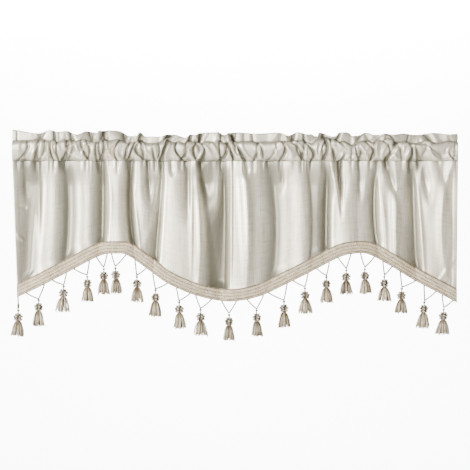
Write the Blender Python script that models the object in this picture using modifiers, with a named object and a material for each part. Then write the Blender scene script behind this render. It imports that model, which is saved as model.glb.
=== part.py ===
"""Scalloped rod-pocket valance in satin, with a braid along its shaped hem and hanging tassels.

The drape hangs as it does on a rod: a ruffle stands above a gathered pocket, the panel
falls in uneven soft folds, and its hem rises in two arches between a centre swag and two
tails. The rod itself is left out, so the pocket is an open channel from side to side.
"""

import math

import bmesh
import bpy
from mathutils import Matrix, Vector

# Units are metres. X runs along the rod, -Y faces the room and +Z is up. The origin is the
# middle of the line where the top of the pocket rests on the rod.
LEFT_TOP, RIGHT_TOP = -0.502, 0.500
LEFT_TIP, RIGHT_TIP = -0.491, 0.497
STITCH_Z = 0.0030
SEAM_Z = -0.0385
CLOTH = 0.0012
GAP = 0.0003

# The rod channel, as half its depth at heights between the seam and the stitches.
CHANNEL_HALF_DEPTH = 0.0142
SEAM_HALF = 0.0014
NECK_HALF = 0.0014

# The hem, from the left tail over two arches and the centre swag to the right tail.
HEM = (
    # x, z
    (-0.4910, -0.3455),
    (-0.4320, -0.3175),
    (-0.3660, -0.2830),
    (-0.3000, -0.2502),
    (-0.2700, -0.2470),
    (-0.2440, -0.2502),
    (-0.1945, -0.2845),
    (-0.1520, -0.3142),
    (-0.0855, -0.3422),
    (-0.0160, -0.3545),
    (0.0510, -0.3440),
    (0.1170, -0.3143),
    (0.1830, -0.2810),
    (0.2325, -0.2558),
    (0.2600, -0.2480),
    (0.2980, -0.2485),
    (0.3515, -0.2768),
    (0.3978, -0.3047),
    (0.4637, -0.3393),
    (0.4970, -0.3570),
)

# Folds that run the whole drop: where the trough lies at three heights, how far back it
# goes, and how far from its middle it is half as deep on each side.
MID_Z, LOW_Z = -0.150, -0.300
LONG_FOLDS = (
    # x at seam, x at mid drop, x low, depth, half width on the left and on the right
    (-0.5050, -0.4839, -0.4923, 0.0046, 0.0239, 0.0260),
    (-0.4510, -0.4570, -0.4668, 0.0096, 0.0211, 0.0187),
    (-0.3816, -0.3768, -0.3882, 0.0138, 0.0133, 0.0184),
    (-0.2993, -0.2997, -0.3050, 0.0147, 0.0134, 0.0080),
    (-0.2344, -0.2372, -0.2169, 0.0160, 0.0080, 0.0080),
    (-0.1642, -0.1720, -0.1823, 0.0139, 0.0135, 0.0080),
    (-0.0840, -0.0708, -0.0554, 0.0077, 0.0080, 0.0243),
    (-0.0282, -0.0254, -0.0260, 0.0149, 0.0249, 0.0080),
    (0.0281, 0.0430, 0.0406, 0.0033, 0.0080, 0.0226),
    (0.0756, 0.0891, 0.0844, 0.0125, 0.0161, 0.0213),
    (0.1607, 0.1715, 0.1662, 0.0092, 0.0080, 0.0162),
    (0.2091, 0.2043, 0.2057, 0.0135, 0.0089, 0.0080),
    (0.2857, 0.2747, 0.2882, 0.0043, 0.0080, 0.0260),
    (0.3203, 0.3122, 0.3339, 0.0108, 0.0085, 0.0080),
    (0.4037, 0.4015, 0.4100, 0.0145, 0.0204, 0.0084),
    (0.4584, 0.4814, 0.4795, 0.0029, 0.0080, 0.0260),
)

# Folds that start at the seam and die out on the way down.
SHORT_FOLDS = (
    # x at seam, x at end, z at end, depth, half width
    (-0.4773, -0.4696, -0.141, 0.0053, 0.0080),
    (-0.4434, -0.4426, -0.209, 0.0021, 0.0080),
    (-0.1982, -0.1917, -0.160, 0.0082, 0.0080),
    (-0.1451, -0.1419, -0.079, 0.0054, 0.0080),
    (-0.1068, -0.1083, -0.204, 0.0084, 0.0088),
    (-0.0774, -0.0613, -0.156, 0.0063, 0.0096),
    (0.0182, 0.0297, -0.085, 0.0124, 0.0080),
    (0.1069, 0.1021, -0.118, 0.0030, 0.0080),
    (0.2322, 0.2366, -0.169, 0.0110, 0.0080),
    (0.2783, 0.2806, -0.119, 0.0050, 0.0080),
    (0.3400, 0.3670, -0.137, 0.0078, 0.0080),
    (0.4210, 0.4358, -0.146, 0.0061, 0.0080),
)
CREST_Y = -0.0070
SEAM_SHARE = 0.55
HEM_SHARE = 0.60
FOLD_OPENS = 0.060
BRAID_CALMS = 0.060

# Gathers of the pocket: where each crease leaves the stitches and where it meets the seam.
GATHERS = (
    # x at stitches, x at seam, depth
    (-0.4703, -0.4850, 0.0045),
    (-0.4466, -0.4511, 0.0035),
    (-0.4320, -0.4343, 0.0025),
    (-0.4140, -0.4050, 0.0045),
    (-0.3803, -0.3870, 0.0040),
    (-0.3578, -0.3341, 0.0050),
    (-0.3240, -0.3195, 0.0030),
    (-0.3071, -0.3038, 0.0045),
    (-0.2925, -0.2711, 0.0050),
    (-0.2678, -0.2565, 0.0030),
    (-0.2498, -0.2430, 0.0040),
    (-0.2273, -0.2093, 0.0045),
    (-0.1935, -0.1823, 0.0050),
    (-0.1643, -0.1699, 0.0045),
    (-0.1395, -0.1260, 0.0050),
    (-0.1058, -0.0900, 0.0050),
    (-0.0698, -0.0765, 0.0040),
    (-0.0405, -0.0383, 0.0050),
    (-0.0225, -0.0261, 0.0035),
    (-0.0113, -0.0068, 0.0045),
    (0.0045, 0.0158, 0.0040),
    (0.0225, 0.0315, 0.0045),
    (0.0473, 0.0428, 0.0035),
    (0.0833, 0.0630, 0.0030),
    (0.1103, 0.0968, 0.0045),
    (0.1238, 0.1395, 0.0040),
    (0.1418, 0.1508, 0.0045),
    (0.1553, 0.1620, 0.0040),
    (0.1733, 0.1733, 0.0050),
    (0.1913, 0.2003, 0.0050),
    (0.2115, 0.2205, 0.0045),
    (0.2363, 0.2363, 0.0040),
    (0.2565, 0.2498, 0.0050),
    (0.2723, 0.2723, 0.0035),
    (0.2993, 0.3015, 0.0045),
    (0.3173, 0.3128, 0.0040),
    (0.3443, 0.3375, 0.0050),
    (0.3600, 0.3623, 0.0035),
    (0.3758, 0.3758, 0.0040),
    (0.3938, 0.3904, 0.0045),
    (0.4050, 0.4073, 0.0030),
    (0.4320, 0.4523, 0.0050),
    (0.4725, 0.4770, 0.0035),
)

# Folds of the standing ruffle: each leans from its foot to its top, forwards or back.
RUFFLE_FOLDS = (
    # x at foot, x at top, how far the top comes forward, half width
    (-0.4700, -0.4600, 0.0030, 0.0140),
    (-0.4330, -0.4420, -0.0040, 0.0080),
    (-0.4040, -0.4100, 0.0060, 0.0070),
    (-0.3620, -0.3760, 0.0050, 0.0100),
    (-0.3250, -0.3380, -0.0055, 0.0080),
    (-0.3020, -0.3080, 0.0075, 0.0065),
    (-0.2450, -0.2600, -0.0060, 0.0090),
    (-0.2180, -0.2190, 0.0085, 0.0060),
    (-0.1640, -0.1530, -0.0060, 0.0075),
    (-0.1080, -0.1000, 0.0055, 0.0080),
    (-0.0830, -0.0830, -0.0060, 0.0060),
    (-0.0300, -0.0430, 0.0060, 0.0070),
    (-0.0050, -0.0200, -0.0065, 0.0080),
    (0.0880, 0.0970, 0.0045, 0.0140),
    (0.1280, 0.1230, -0.0055, 0.0080),
    (0.1600, 0.1520, 0.0050, 0.0080),
    (0.2040, 0.1880, -0.0070, 0.0075),
    (0.2320, 0.2420, 0.0060, 0.0080),
    (0.2730, 0.2680, -0.0060, 0.0070),
    (0.3520, 0.3350, 0.0065, 0.0085),
    (0.4320, 0.4150, -0.0060, 0.0090),
    (0.4850, 0.4800, 0.0035, 0.0080),
)
RUFFLE_TOP = (
    # x, height above the stitches
    (-0.502, 0.0270),
    (-0.450, 0.0215),
    (-0.420, 0.0265),
    (-0.383, 0.0245),
    (-0.365, 0.0205),
    (-0.338, 0.0255),
    (-0.315, 0.0220),
    (-0.300, 0.0265),
    (-0.262, 0.0255),
    (-0.234, 0.0165),
    (-0.219, 0.0240),
    (-0.205, 0.0165),
    (-0.155, 0.0195),
    (-0.112, 0.0145),
    (-0.085, 0.0215),
    (-0.045, 0.0225),
    (0.000, 0.0235),
    (0.100, 0.0225),
    (0.118, 0.0145),
    (0.145, 0.0220),
    (0.190, 0.0215),
    (0.216, 0.0160),
    (0.245, 0.0215),
    (0.280, 0.0165),
    (0.340, 0.0215),
    (0.400, 0.0195),
    (0.430, 0.0215),
    (0.500, 0.0205),
)

# The braid sewn along the front of the hem, with ribs along its length.
BRAID_WIDTH = 0.0265
BRAID_GAP = 0.0005
BRAID_SECTION = (
    # share of the width up from the lower edge, thickness
    (0.00, 0.0016),
    (0.10, 0.0030),
    (0.22, 0.0018),
    (0.60, 0.0026),
    (1.00, 0.0014),
)
BRAID_BACK = (1.0, 0.5, 0.0)

# Each tassel hangs from a loop sewn to the braid at two places. The first hangs from the
# tip of the left tail by one straight cord.
TASSELS = (
    # x of left root, x of right root, x of knot, z of knot, turn, length share, form
    (-0.4885, -0.4885, -0.4885, -0.3710, 10, 0.930, 1),
    (-0.4700, -0.4290, -0.4425, -0.3485, 47, 0.920, 0),
    (-0.4110, -0.3800, -0.3860, -0.3170, 5, 0.910, 2),
    (-0.3630, -0.3280, -0.3335, -0.2950, 31, 0.865, 0),
    (-0.3120, -0.2880, -0.2960, -0.2780, 20, 0.890, 0),
    (-0.2785, -0.2460, -0.2700, -0.2760, 62, 0.900, 0),
    (-0.2260, -0.2010, -0.2220, -0.2960, 15, 0.880, 1),
    (-0.1860, -0.1530, -0.1800, -0.3265, 38, 0.940, 1),
    (-0.1325, -0.1025, -0.1265, -0.3530, 8, 0.940, 1),
    (-0.0895, -0.0545, -0.0785, -0.3705, 53, 0.930, 2),
    (-0.0310, 0.0020, -0.0145, -0.3810, 27, 0.920, 0),
    (0.0265, 0.0630, 0.0475, -0.3715, 41, 0.900, 0),
    (0.0740, 0.1160, 0.1090, -0.3515, 12, 0.930, 1),
    (0.1300, 0.1630, 0.1560, -0.3215, 58, 0.895, 2),
    (0.1830, 0.2110, 0.2045, -0.2965, 33, 0.910, 1),
    (0.2310, 0.2590, 0.2490, -0.2805, 3, 0.830, 1),
    (0.2805, 0.3120, 0.2905, -0.2780, 44, 0.870, 1),
    (0.3310, 0.3510, 0.3345, -0.2950, 22, 0.865, 2),
    (0.3700, 0.4040, 0.3740, -0.3225, 51, 0.870, 1),
    (0.4235, 0.4500, 0.4245, -0.3525, 17, 0.920, 1),
    (0.4640, 0.4880, 0.4675, -0.3680, 36, 0.900, 2),
)
CORD_RADIUS = 0.0011
CORD_ROOT = 0.0025
TASSEL_PROFILE = (
    # radius, height below the top of the knot
    (0.0000, 0.0000),
    (0.0027, -0.0030),
    (0.0022, -0.0100),
    (0.0088, -0.0150),
    (0.0096, -0.0225),
    (0.0055, -0.0300),
    (0.0068, -0.0325),
)
TASSEL_SIDES = 8
FORMS = (
    # lean to the side, lean to the front, spread of the skirt
    (0.00, 0.00, 1.00),
    (0.05, 0.00, 1.10),
    (-0.05, 0.02, 1.26),
)
CORE_SHARE = 0.42
LOCK_STEPS = (
    # height below the knot, radius share, width share
    (-0.0450, 1.70, 0.95),
    (-0.0660, 2.25, 0.80),
)

BODY_COLUMNS = 104
UPPER_ROWS = 6
FRONT_HEIGHTS = (0.0, 0.20, 0.45, 0.70, 0.88, 0.96, 1.0)
RUFFLE_HEIGHTS = (0.35, 0.70, 1.0)
CHANNEL_HEIGHTS = (0.16, 0.45, 0.72, 0.87)

SATIN = ("satin", (0.80, 0.78, 0.72), 0.38)
GALLOON = ("braid", (0.76, 0.69, 0.58), 0.75)
YARN = ("tassel_yarn", (0.70, 0.63, 0.52), 0.70)
TWIST = ("twisted_cord", (0.72, 0.68, 0.60), 0.60)


def clear_scene():
    for item in list(bpy.data.objects):
        bpy.data.objects.remove(item, do_unlink=True)


def material(finish):
    name, colour, roughness = finish
    made = bpy.data.materials.get(name) or bpy.data.materials.new(name)
    made.use_nodes = True
    shader = made.node_tree.nodes["Principled BSDF"]
    shader.inputs["Base Color"].default_value = (*colour, 1.0)
    shader.inputs["Roughness"].default_value = roughness
    shader.inputs["Metallic"].default_value = 0.0
    return made


def add_object(name, data, finish, collection):
    item = bpy.data.objects.new(name, data)
    if not data.materials:
        data.materials.append(material(finish))
    collection.objects.link(item)
    return item


def mix(a, b, share):
    return a + (b - a) * share


def ease(share):
    """0 to 1 with level ends."""
    share = min(1.0, max(0.0, share))
    return share * share * (3.0 - 2.0 * share)


def along(table, x):
    """The smooth curve through a table of (x, value), read at x."""
    last = len(table) - 2
    k = next((i for i in range(last) if x < table[i + 1][0]), last)
    (x0, v0), (x1, v1) = table[k], table[k + 1]
    before, after = table[max(k - 1, 0)], table[min(k + 2, len(table) - 1)]
    step = x1 - x0
    slope0 = (v1 - before[1]) / (x1 - before[0]) * step
    slope1 = (after[1] - v0) / (after[0] - x0) * step
    t = min(1.0, max(0.0, (x - x0) / step))
    return (
        v0 * (2 * t**3 - 3 * t**2 + 1)
        + slope0 * (t**3 - 2 * t**2 + t)
        + v1 * (3 * t**2 - 2 * t**3)
        + slope1 * (t**3 - t**2)
    )


def bell(t):
    """A fold's cross-section: 1 in the middle, about a half at 1, with long soft tails."""
    half_fall = 1.317
    tail_share, tail_spread = 0.25, 3.0
    core = 1.0 / math.cosh(min(half_fall * abs(t), 50.0))
    tail = 1.0 / math.cosh(min(half_fall * abs(t) / tail_spread, 50.0))
    return (1.0 - tail_share) * core + tail_share * tail


def three_point(x_top, x_mid, x_low, z):
    """The x of a long fold at height z, on the parabola through its three places."""
    a, b, c = SEAM_Z, MID_Z, LOW_Z
    return (
        x_top * (z - b) * (z - c) / ((a - b) * (a - c))
        + x_mid * (z - a) * (z - c) / ((b - a) * (b - c))
        + x_low * (z - a) * (z - b) / ((c - a) * (c - b))
    )


def hem_z(x):
    return along(HEM, x)


def hem_slope(x):
    step = 0.002
    return (hem_z(x + step) - hem_z(x - step)) / (2 * step)


def braid_height(x):
    """The braid's upright height, which is more than its width where the hem slopes."""
    return BRAID_WIDTH * math.hypot(1.0, hem_slope(x))


def cloth_y(x, z):
    """The front face of the hanging panel."""
    opened = mix(SEAM_SHARE, 1.0, ease((SEAM_Z - z) / FOLD_OPENS))
    above_hem = z - hem_z(x)
    calmed = mix(HEM_SHARE, 1.0, ease(above_hem / BRAID_CALMS))
    depth = 0.0
    for top, mid, low, back, left, right in LONG_FOLDS:
        off = x - three_point(top, mid, low, z)
        depth += back * bell(off / (left if off < 0.0 else right))
    for top, end, end_z, back, half in SHORT_FOLDS:
        run = (SEAM_Z - z) / (SEAM_Z - end_z)
        if run < 1.0:
            fade = 1.0 - ease((run - 0.35) / 0.65)
            depth += back * fade * bell((x - mix(top, end, run)) / (half * mix(1.0, 0.7, run)))
    return CREST_Y + depth * opened * calmed


def seam_y(x):
    return cloth_y(x, SEAM_Z)


def neck_y(x):
    """Where the stitches under the ruffle lie, which follow the folds below a little."""
    return 0.30 * (seam_y(x) - CREST_Y) - 0.001


def panel_point(u, row):
    """A point of the panel's front face. Rows 0 to UPPER_ROWS lead down to the braid's upper
    edge, and the next two to its middle and to the hem."""
    x_top, x_hem = mix(LEFT_TOP, RIGHT_TOP, u), mix(LEFT_TIP, RIGHT_TIP, u)
    z_top, z_hem = SEAM_Z - GAP, hem_z(x_hem)
    z_braid = z_hem + braid_height(x_hem)
    if row <= UPPER_ROWS:
        z = mix(z_top, z_braid, row / UPPER_ROWS)
    else:
        z = mix(z_braid, z_hem, (row - UPPER_ROWS) / (len(BRAID_BACK) - 1))
    x = mix(x_top, x_hem, (z_top - z) / (z_top - z_hem))
    return Vector((x, cloth_y(x, z), z))


def split_quads(form):
    """Each quad along its shorter diagonal, so that two sheets cut alike stay apart."""
    quads = [face for face in form.faces if len(face.verts) == 4]
    bmesh.ops.triangulate(form, faces=quads, quad_method="SHORT_EDGE")


def make_panel(collection):
    rows = UPPER_ROWS + len(BRAID_BACK) - 1
    form = bmesh.new()
    bmesh.ops.create_grid(form, x_segments=BODY_COLUMNS, y_segments=rows, size=0.5)
    for vertex in form.verts:
        u, row = vertex.co.x + 0.5, round((0.5 - vertex.co.y) * rows)
        vertex.co = panel_point(u, row)
    split_quads(form)
    mesh = bpy.data.meshes.new("panel")
    form.to_mesh(mesh)
    form.free()
    item = add_object("panel", mesh, SATIN, collection)
    sheet = item.modifiers.new("cloth", "SOLIDIFY")
    sheet.thickness = CLOTH
    sheet.offset = -1.0
    sheet.use_even_offset = True
    return item


def bulge(height):
    """Half the pocket's depth from seam to stitches: a teardrop, fullest round the rod."""
    full_at = 0.66
    if height < full_at:
        swell = math.sin(0.5 * math.pi * (height / full_at)) ** 0.85
        return mix(SEAM_HALF, CHANNEL_HALF_DEPTH + CLOTH, swell)
    rest = (height - full_at) / (1.0 - full_at)
    return mix(NECK_HALF, CHANNEL_HALF_DEPTH + CLOTH, math.sqrt(max(0.0, 1.0 - rest**3)))


def gather_column(k, part):
    """Column of the heading: its x at the stitches and seam, and how far its puff stands.
    Part 0 is a crease, and part 1 the crown of the puff that follows it."""
    ends = (LEFT_TOP, LEFT_TOP, 0.0), (RIGHT_TOP, RIGHT_TOP, 0.0)
    rows = (ends[0], *GATHERS, ends[1])
    (x0, s0, d0), (x1, s1, d1) = rows[k], rows[k + 1]
    share = (0.0, 0.5)[part]
    return mix(x0, x1, share), mix(s0, s1, share), 0.0 if part == 0 else max(d0, d1)


def heading_columns():
    columns = [gather_column(k, part) for k in range(len(GATHERS) + 1) for part in range(2)]
    return columns + [(RIGHT_TOP, RIGHT_TOP, 0.0)]


def ruffle_y(x, share):
    lean = sum(
        forward * bell((x - mix(foot, top, share)) / half)
        for foot, top, forward, half in RUFFLE_FOLDS
    )
    return neck_y(x) - lean * mix(0.25, 1.0, share)


def heading_ring(x_stitch, x_seam, puff):
    """The heading's outer outline at one column: up the front of the pocket, over the ruffle
    and down the back."""
    front, back = [], []
    for height in FRONT_HEIGHTS:
        x = mix(x_seam, x_stitch, height)
        middle = mix(seam_y(x), 0.0, ease(height / 0.45))
        middle = mix(middle, neck_y(x), ease((height - 0.85) / 0.15))
        reach = bulge(height) + puff * math.sin(math.pi * height) ** 0.6
        z = mix(SEAM_Z, STITCH_Z, height)
        front.append((x, middle - reach, z))
        back.append((x, middle + reach, z))
    for share in RUFFLE_HEIGHTS:
        y = ruffle_y(x_stitch, share)
        z = STITCH_Z + share * along(RUFFLE_TOP, x_stitch)
        front.append((x_stitch, y - CLOTH, z))
        back.append((x_stitch, y + CLOTH, z))
    return front + back[::-1]


def channel_ring(x_stitch, x_seam, puff):
    """The inside of the pocket at one column, one cloth thickness in from the outside."""
    front, back = [], []
    for height in CHANNEL_HEIGHTS:
        x = mix(x_seam, x_stitch, height)
        middle = mix(seam_y(x), 0.0, ease(height / 0.45))
        reach = bulge(height) + puff * math.sin(math.pi * height) ** 0.6 - CLOTH * 1.15
        z = mix(SEAM_Z, STITCH_Z, height)
        front.append((x, middle - reach, z))
        back.append((x, middle + reach, z))
    return front + back[::-1]


def loft(form, rings):
    """Quads between rings of points, each ring closed on itself. Returns the end rings."""
    made = [[form.verts.new(point) for point in ring] for ring in rings]
    count = len(made[0])
    for one, two in zip(made, made[1:]):
        for k in range(count):
            following = (k + 1) % count
            form.faces.new((one[k], one[following], two[following], two[k]))
    return made[0], made[-1]


def ring_edges(ring):
    ends = zip(ring, ring[1:] + ring[:1])
    return [next(e for e in a.link_edges if b in e.verts) for a, b in ends]


def make_heading(collection):
    columns = heading_columns()
    form = bmesh.new()
    outside = loft(form, [heading_ring(*column) for column in columns])
    inside = loft(form, [channel_ring(*column) for column in columns])
    for outer, inner in zip(outside, inside):
        rims = ring_edges(outer) + ring_edges(inner)
        bmesh.ops.triangle_fill(form, edges=rims, normal=(1.0, 0.0, 0.0))
    bmesh.ops.recalc_face_normals(form, faces=form.faces)
    mesh = bpy.data.meshes.new("heading")
    form.to_mesh(mesh)
    form.free()
    return add_object("heading", mesh, SATIN, collection)


def braid_ring(u):
    """The braid's section at one column of the panel: ribbed front and flat back."""
    x_hem = mix(LEFT_TIP, RIGHT_TIP, u)
    z_low, height = hem_z(x_hem), braid_height(x_hem)
    x_top, z_top = mix(LEFT_TOP, RIGHT_TOP, u), SEAM_Z - GAP

    def on_cloth(share):
        z = z_low + share * height
        x = mix(x_top, x_hem, (z_top - z) / (z_top - z_low))
        return x, cloth_y(x, z) - BRAID_GAP, z

    def off_cloth(share, thickness):
        below = min((b for b in BRAID_BACK if b >= share), default=1.0)
        above = max((b for b in BRAID_BACK if b <= share), default=0.0)
        part = 0.0 if below == above else (share - above) / (below - above)
        start, end = Vector(on_cloth(above)), Vector(on_cloth(below))
        flat = start.lerp(end, part)
        return flat.x, flat.y - thickness, flat.z

    front = [off_cloth(share, thickness) for share, thickness in BRAID_SECTION]
    return front + [on_cloth(share) for share in BRAID_BACK]


def make_braid(collection):
    form = bmesh.new()
    rings = [braid_ring(k / BODY_COLUMNS) for k in range(BODY_COLUMNS + 1)]
    for end in loft(form, rings):
        bmesh.ops.contextual_create(form, geom=ring_edges(end))
    bmesh.ops.recalc_face_normals(form, faces=form.faces)
    split_quads(form)
    mesh = bpy.data.meshes.new("braid")
    form.to_mesh(mesh)
    form.free()
    return add_object("braid", mesh, GALLOON, collection)


def braid_underside(x):
    """The middle of the braid's lower edge at x, and the direction straight out of it."""
    z = hem_z(x)
    slope = hem_slope(x)
    out = Vector((slope, 0.0, -1.0)).normalized()
    middle = Vector((x, cloth_y(x, z) - BRAID_GAP - BRAID_SECTION[0][1] * 0.5, z))
    return middle, out


def loop_points(left, right, knot):
    """A cord from one root down to the knot and up to the other, or one straight cord."""
    middle, out = braid_underside(left)
    if left == right:
        straight = Vector((0.0, 0.0, -1.0))
        return [middle + straight * GAP * 3, middle.lerp(knot, 0.5), knot]
    points = []
    for root in (left, right):
        middle, out = braid_underside(root)
        start = middle + out * GAP * 1.3
        sewn = start + out * CORD_ROOT
        sag = sewn.lerp(knot, 0.55) + Vector((0.0, 0.0, -0.0006))
        points.append([start, sewn, sag])
    meeting = knot + Vector((0.0, 0.0, CORD_RADIUS - GAP))
    return points[0] + [meeting] + points[1][::-1]


def make_loop(name, points, collection):
    curve = bpy.data.curves.new(name, "CURVE")
    curve.dimensions = "3D"
    curve.bevel_depth = CORD_RADIUS
    curve.bevel_resolution = 1
    curve.use_fill_caps = True
    spline = curve.splines.new("POLY")
    spline.points.add(len(points) - 1)
    for place, point in zip(spline.points, points):
        place.co = (*point, 1.0)
    return add_object(name, curve, TWIST, collection)


def tassel_mesh(side, front, spread):
    """A knot, a bead-shaped head and eight locks of yarn that part below its collar."""
    form = bmesh.new()
    profile = [form.verts.new((radius, 0.0, z)) for radius, z in TASSEL_PROFILE]
    edges = [form.edges.new(pair) for pair in zip(profile, profile[1:])]
    bmesh.ops.spin(
        form,
        geom=profile + edges,
        cent=(0.0, 0.0, 0.0),
        axis=(0.0, 0.0, 1.0),
        angle=2 * math.pi,
        steps=TASSEL_SIDES,
    )
    bmesh.ops.remove_doubles(form, verts=form.verts, dist=1e-5)
    collar_z = TASSEL_PROFILE[-1][1]
    rim = [e for e in form.edges if e.is_boundary and e.verts[0].co.z < collar_z + 1e-5]
    base = bmesh.ops.contextual_create(form, geom=rim)["faces"]
    collar = TASSEL_PROFILE[-1][0]
    roots = bmesh.ops.inset_region(form, faces=base, thickness=collar * CORE_SHARE)["faces"]
    bmesh.ops.recalc_face_normals(form, faces=form.faces)
    tips = bmesh.ops.extrude_discrete_faces(form, faces=roots)["faces"]
    lean = Vector((side, -front, 0.0))
    for height, reach, width in LOCK_STEPS:
        for face in tips:
            middle = face.calc_center_median()
            outward = Vector((middle.x, middle.y, 0.0)).normalized()
            goal = outward * collar * reach * spread * (1.0 - 0.5 * CORE_SHARE)
            goal += lean * (collar_z - height)
            for vertex in face.verts:
                offset = (vertex.co - middle) * width * (1.6 if reach < 1.7 else 1.0)
                vertex.co = Vector((goal.x, goal.y, height)) + Vector((offset.x, offset.y, 0.0))
        if height != LOCK_STEPS[-1][0]:
            tips = bmesh.ops.extrude_discrete_faces(form, faces=tips)["faces"]
    bmesh.ops.recalc_face_normals(form, faces=form.faces)
    mesh = bpy.data.meshes.new("tassel")
    form.to_mesh(mesh)
    form.free()
    return mesh


def make_tassels(collection):
    meshes = [tassel_mesh(*form) for form in FORMS]
    for number, (left, right, x, z, turn, share, form) in enumerate(TASSELS, start=1):
        roots = [braid_underside(root)[0].y for root in (left, right)]
        knot = Vector((x, sum(roots) / 2, z))
        make_loop(f"loop_{number:02d}", loop_points(left, right, knot), collection)
        top = knot - Vector((0.0, 0.0, GAP))
        item = add_object(f"tassel_{number:02d}", meshes[form], YARN, collection)
        item.matrix_world = (
            Matrix.Translation(top)
            @ Matrix.Rotation(math.radians(turn), 4, "Z")
            @ Matrix.Diagonal((1.0, 1.0, share, 1.0))
        )


def main():
    clear_scene()
    valance = bpy.data.collections.new("swag_valance")
    bpy.context.scene.collection.children.link(valance)
    make_heading(valance)
    make_panel(valance)
    make_braid(valance)
    make_tassels(valance)


main()
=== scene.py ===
"""A gathered satin valance with a braided, tasselled hem, dressed in cloth, yarn and beads."""

# %% [markdown]
# # A gathered valance
# This lesson dresses a window valance. Its rod pocket, panel, braid and tassels already exist
# as plain solids in the frame, and every piece below is made in metres at the same places.

# %% Load the frame
import math
import random

import bpy
import numpy as np
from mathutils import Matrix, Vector


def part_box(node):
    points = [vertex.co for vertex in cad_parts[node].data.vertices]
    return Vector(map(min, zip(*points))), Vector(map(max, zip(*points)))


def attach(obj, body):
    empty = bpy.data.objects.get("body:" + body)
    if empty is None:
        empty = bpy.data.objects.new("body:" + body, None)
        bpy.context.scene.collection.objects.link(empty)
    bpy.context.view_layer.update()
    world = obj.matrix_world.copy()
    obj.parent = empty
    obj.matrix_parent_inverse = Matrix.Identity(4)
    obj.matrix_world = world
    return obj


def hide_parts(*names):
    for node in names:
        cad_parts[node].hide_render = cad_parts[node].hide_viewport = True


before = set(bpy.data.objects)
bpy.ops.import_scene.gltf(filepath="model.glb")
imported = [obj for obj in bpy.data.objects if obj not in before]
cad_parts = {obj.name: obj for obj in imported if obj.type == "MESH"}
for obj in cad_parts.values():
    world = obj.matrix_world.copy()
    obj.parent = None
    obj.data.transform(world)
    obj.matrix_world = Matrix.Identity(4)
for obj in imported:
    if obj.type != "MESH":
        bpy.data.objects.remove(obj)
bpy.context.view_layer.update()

MM = 0.001
print("solids in the frame:", len(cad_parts))

# %% [markdown]
# ## The lines the cloth follows
# The valance hangs 1 m wide from a rod. A maker chalks its hem from paper patterns: two
# arches, a swag between them and a tail at each side. Here the chalk line is a short table,
# and a smooth curve runs through it. The same curve later carries the braid and the tassels.

# %% Sizes and the chalk line of the hem
LEFT_TOP, RIGHT_TOP = -0.502, 0.500
LEFT_TIP, RIGHT_TIP = -0.491, 0.497
STITCH_Z, SEAM_Z = 0.0030, -0.0385
HEM = (
    # x, z
    (-0.4910, -0.3455),
    (-0.4320, -0.3175),
    (-0.3660, -0.2830),
    (-0.3000, -0.2502),
    (-0.2700, -0.2470),
    (-0.2440, -0.2502),
    (-0.1945, -0.2845),
    (-0.1520, -0.3142),
    (-0.0855, -0.3422),
    (-0.0160, -0.3545),
    (0.0510, -0.3440),
    (0.1170, -0.3143),
    (0.1830, -0.2810),
    (0.2325, -0.2558),
    (0.2600, -0.2480),
    (0.2980, -0.2485),
    (0.3515, -0.2768),
    (0.3978, -0.3047),
    (0.4637, -0.3393),
    (0.4970, -0.3570),
)


def mix(a, b, share):
    return a + (b - a) * share


def ease(share):
    """0 to 1 with level ends, for numbers or arrays."""
    share = np.clip(share, 0.0, 1.0)
    return share * share * (3.0 - 2.0 * share)


def along(table, x):
    """The smooth curve through a table of (x, value), read at an array of x."""
    xs, values = np.array(table).T
    x = np.asarray(x, float)
    slopes = np.empty_like(values)
    slopes[1:-1] = (values[2:] - values[:-2]) / (xs[2:] - xs[:-2])
    slopes[0] = (values[1] - values[0]) / (xs[1] - xs[0])
    slopes[-1] = (values[-1] - values[-2]) / (xs[-1] - xs[-2])
    k = np.clip(np.searchsorted(xs, x) - 1, 0, len(xs) - 2)
    step = xs[k + 1] - xs[k]
    t = np.clip((x - xs[k]) / step, 0.0, 1.0)
    return (
        values[k] * (2 * t**3 - 3 * t**2 + 1)
        + slopes[k] * step * (t**3 - 2 * t**2 + t)
        + values[k + 1] * (3 * t**2 - 2 * t**3)
        + slopes[k + 1] * step * (t**3 - t**2)
    )


def hem_z(x):
    return along(HEM, x)


def hem_slope(x):
    reach = 2 * MM
    return (hem_z(x + reach) - hem_z(x - reach)) / (2 * reach)


print("hem runs from", hem_z(LEFT_TIP), "to", hem_z(RIGHT_TIP))

# %% [markdown]
# ## Folds as tables
# Gathered satin falls in troughs and ridges that start at the pocket's gathers and wander a
# little on the way down. A simulation would choose its own folds. Here each fold is a row of
# a table instead, so that it lies where the real one does. A row gives where the fold
# passes at three heights, how far it goes back and how wide it is.

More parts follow.
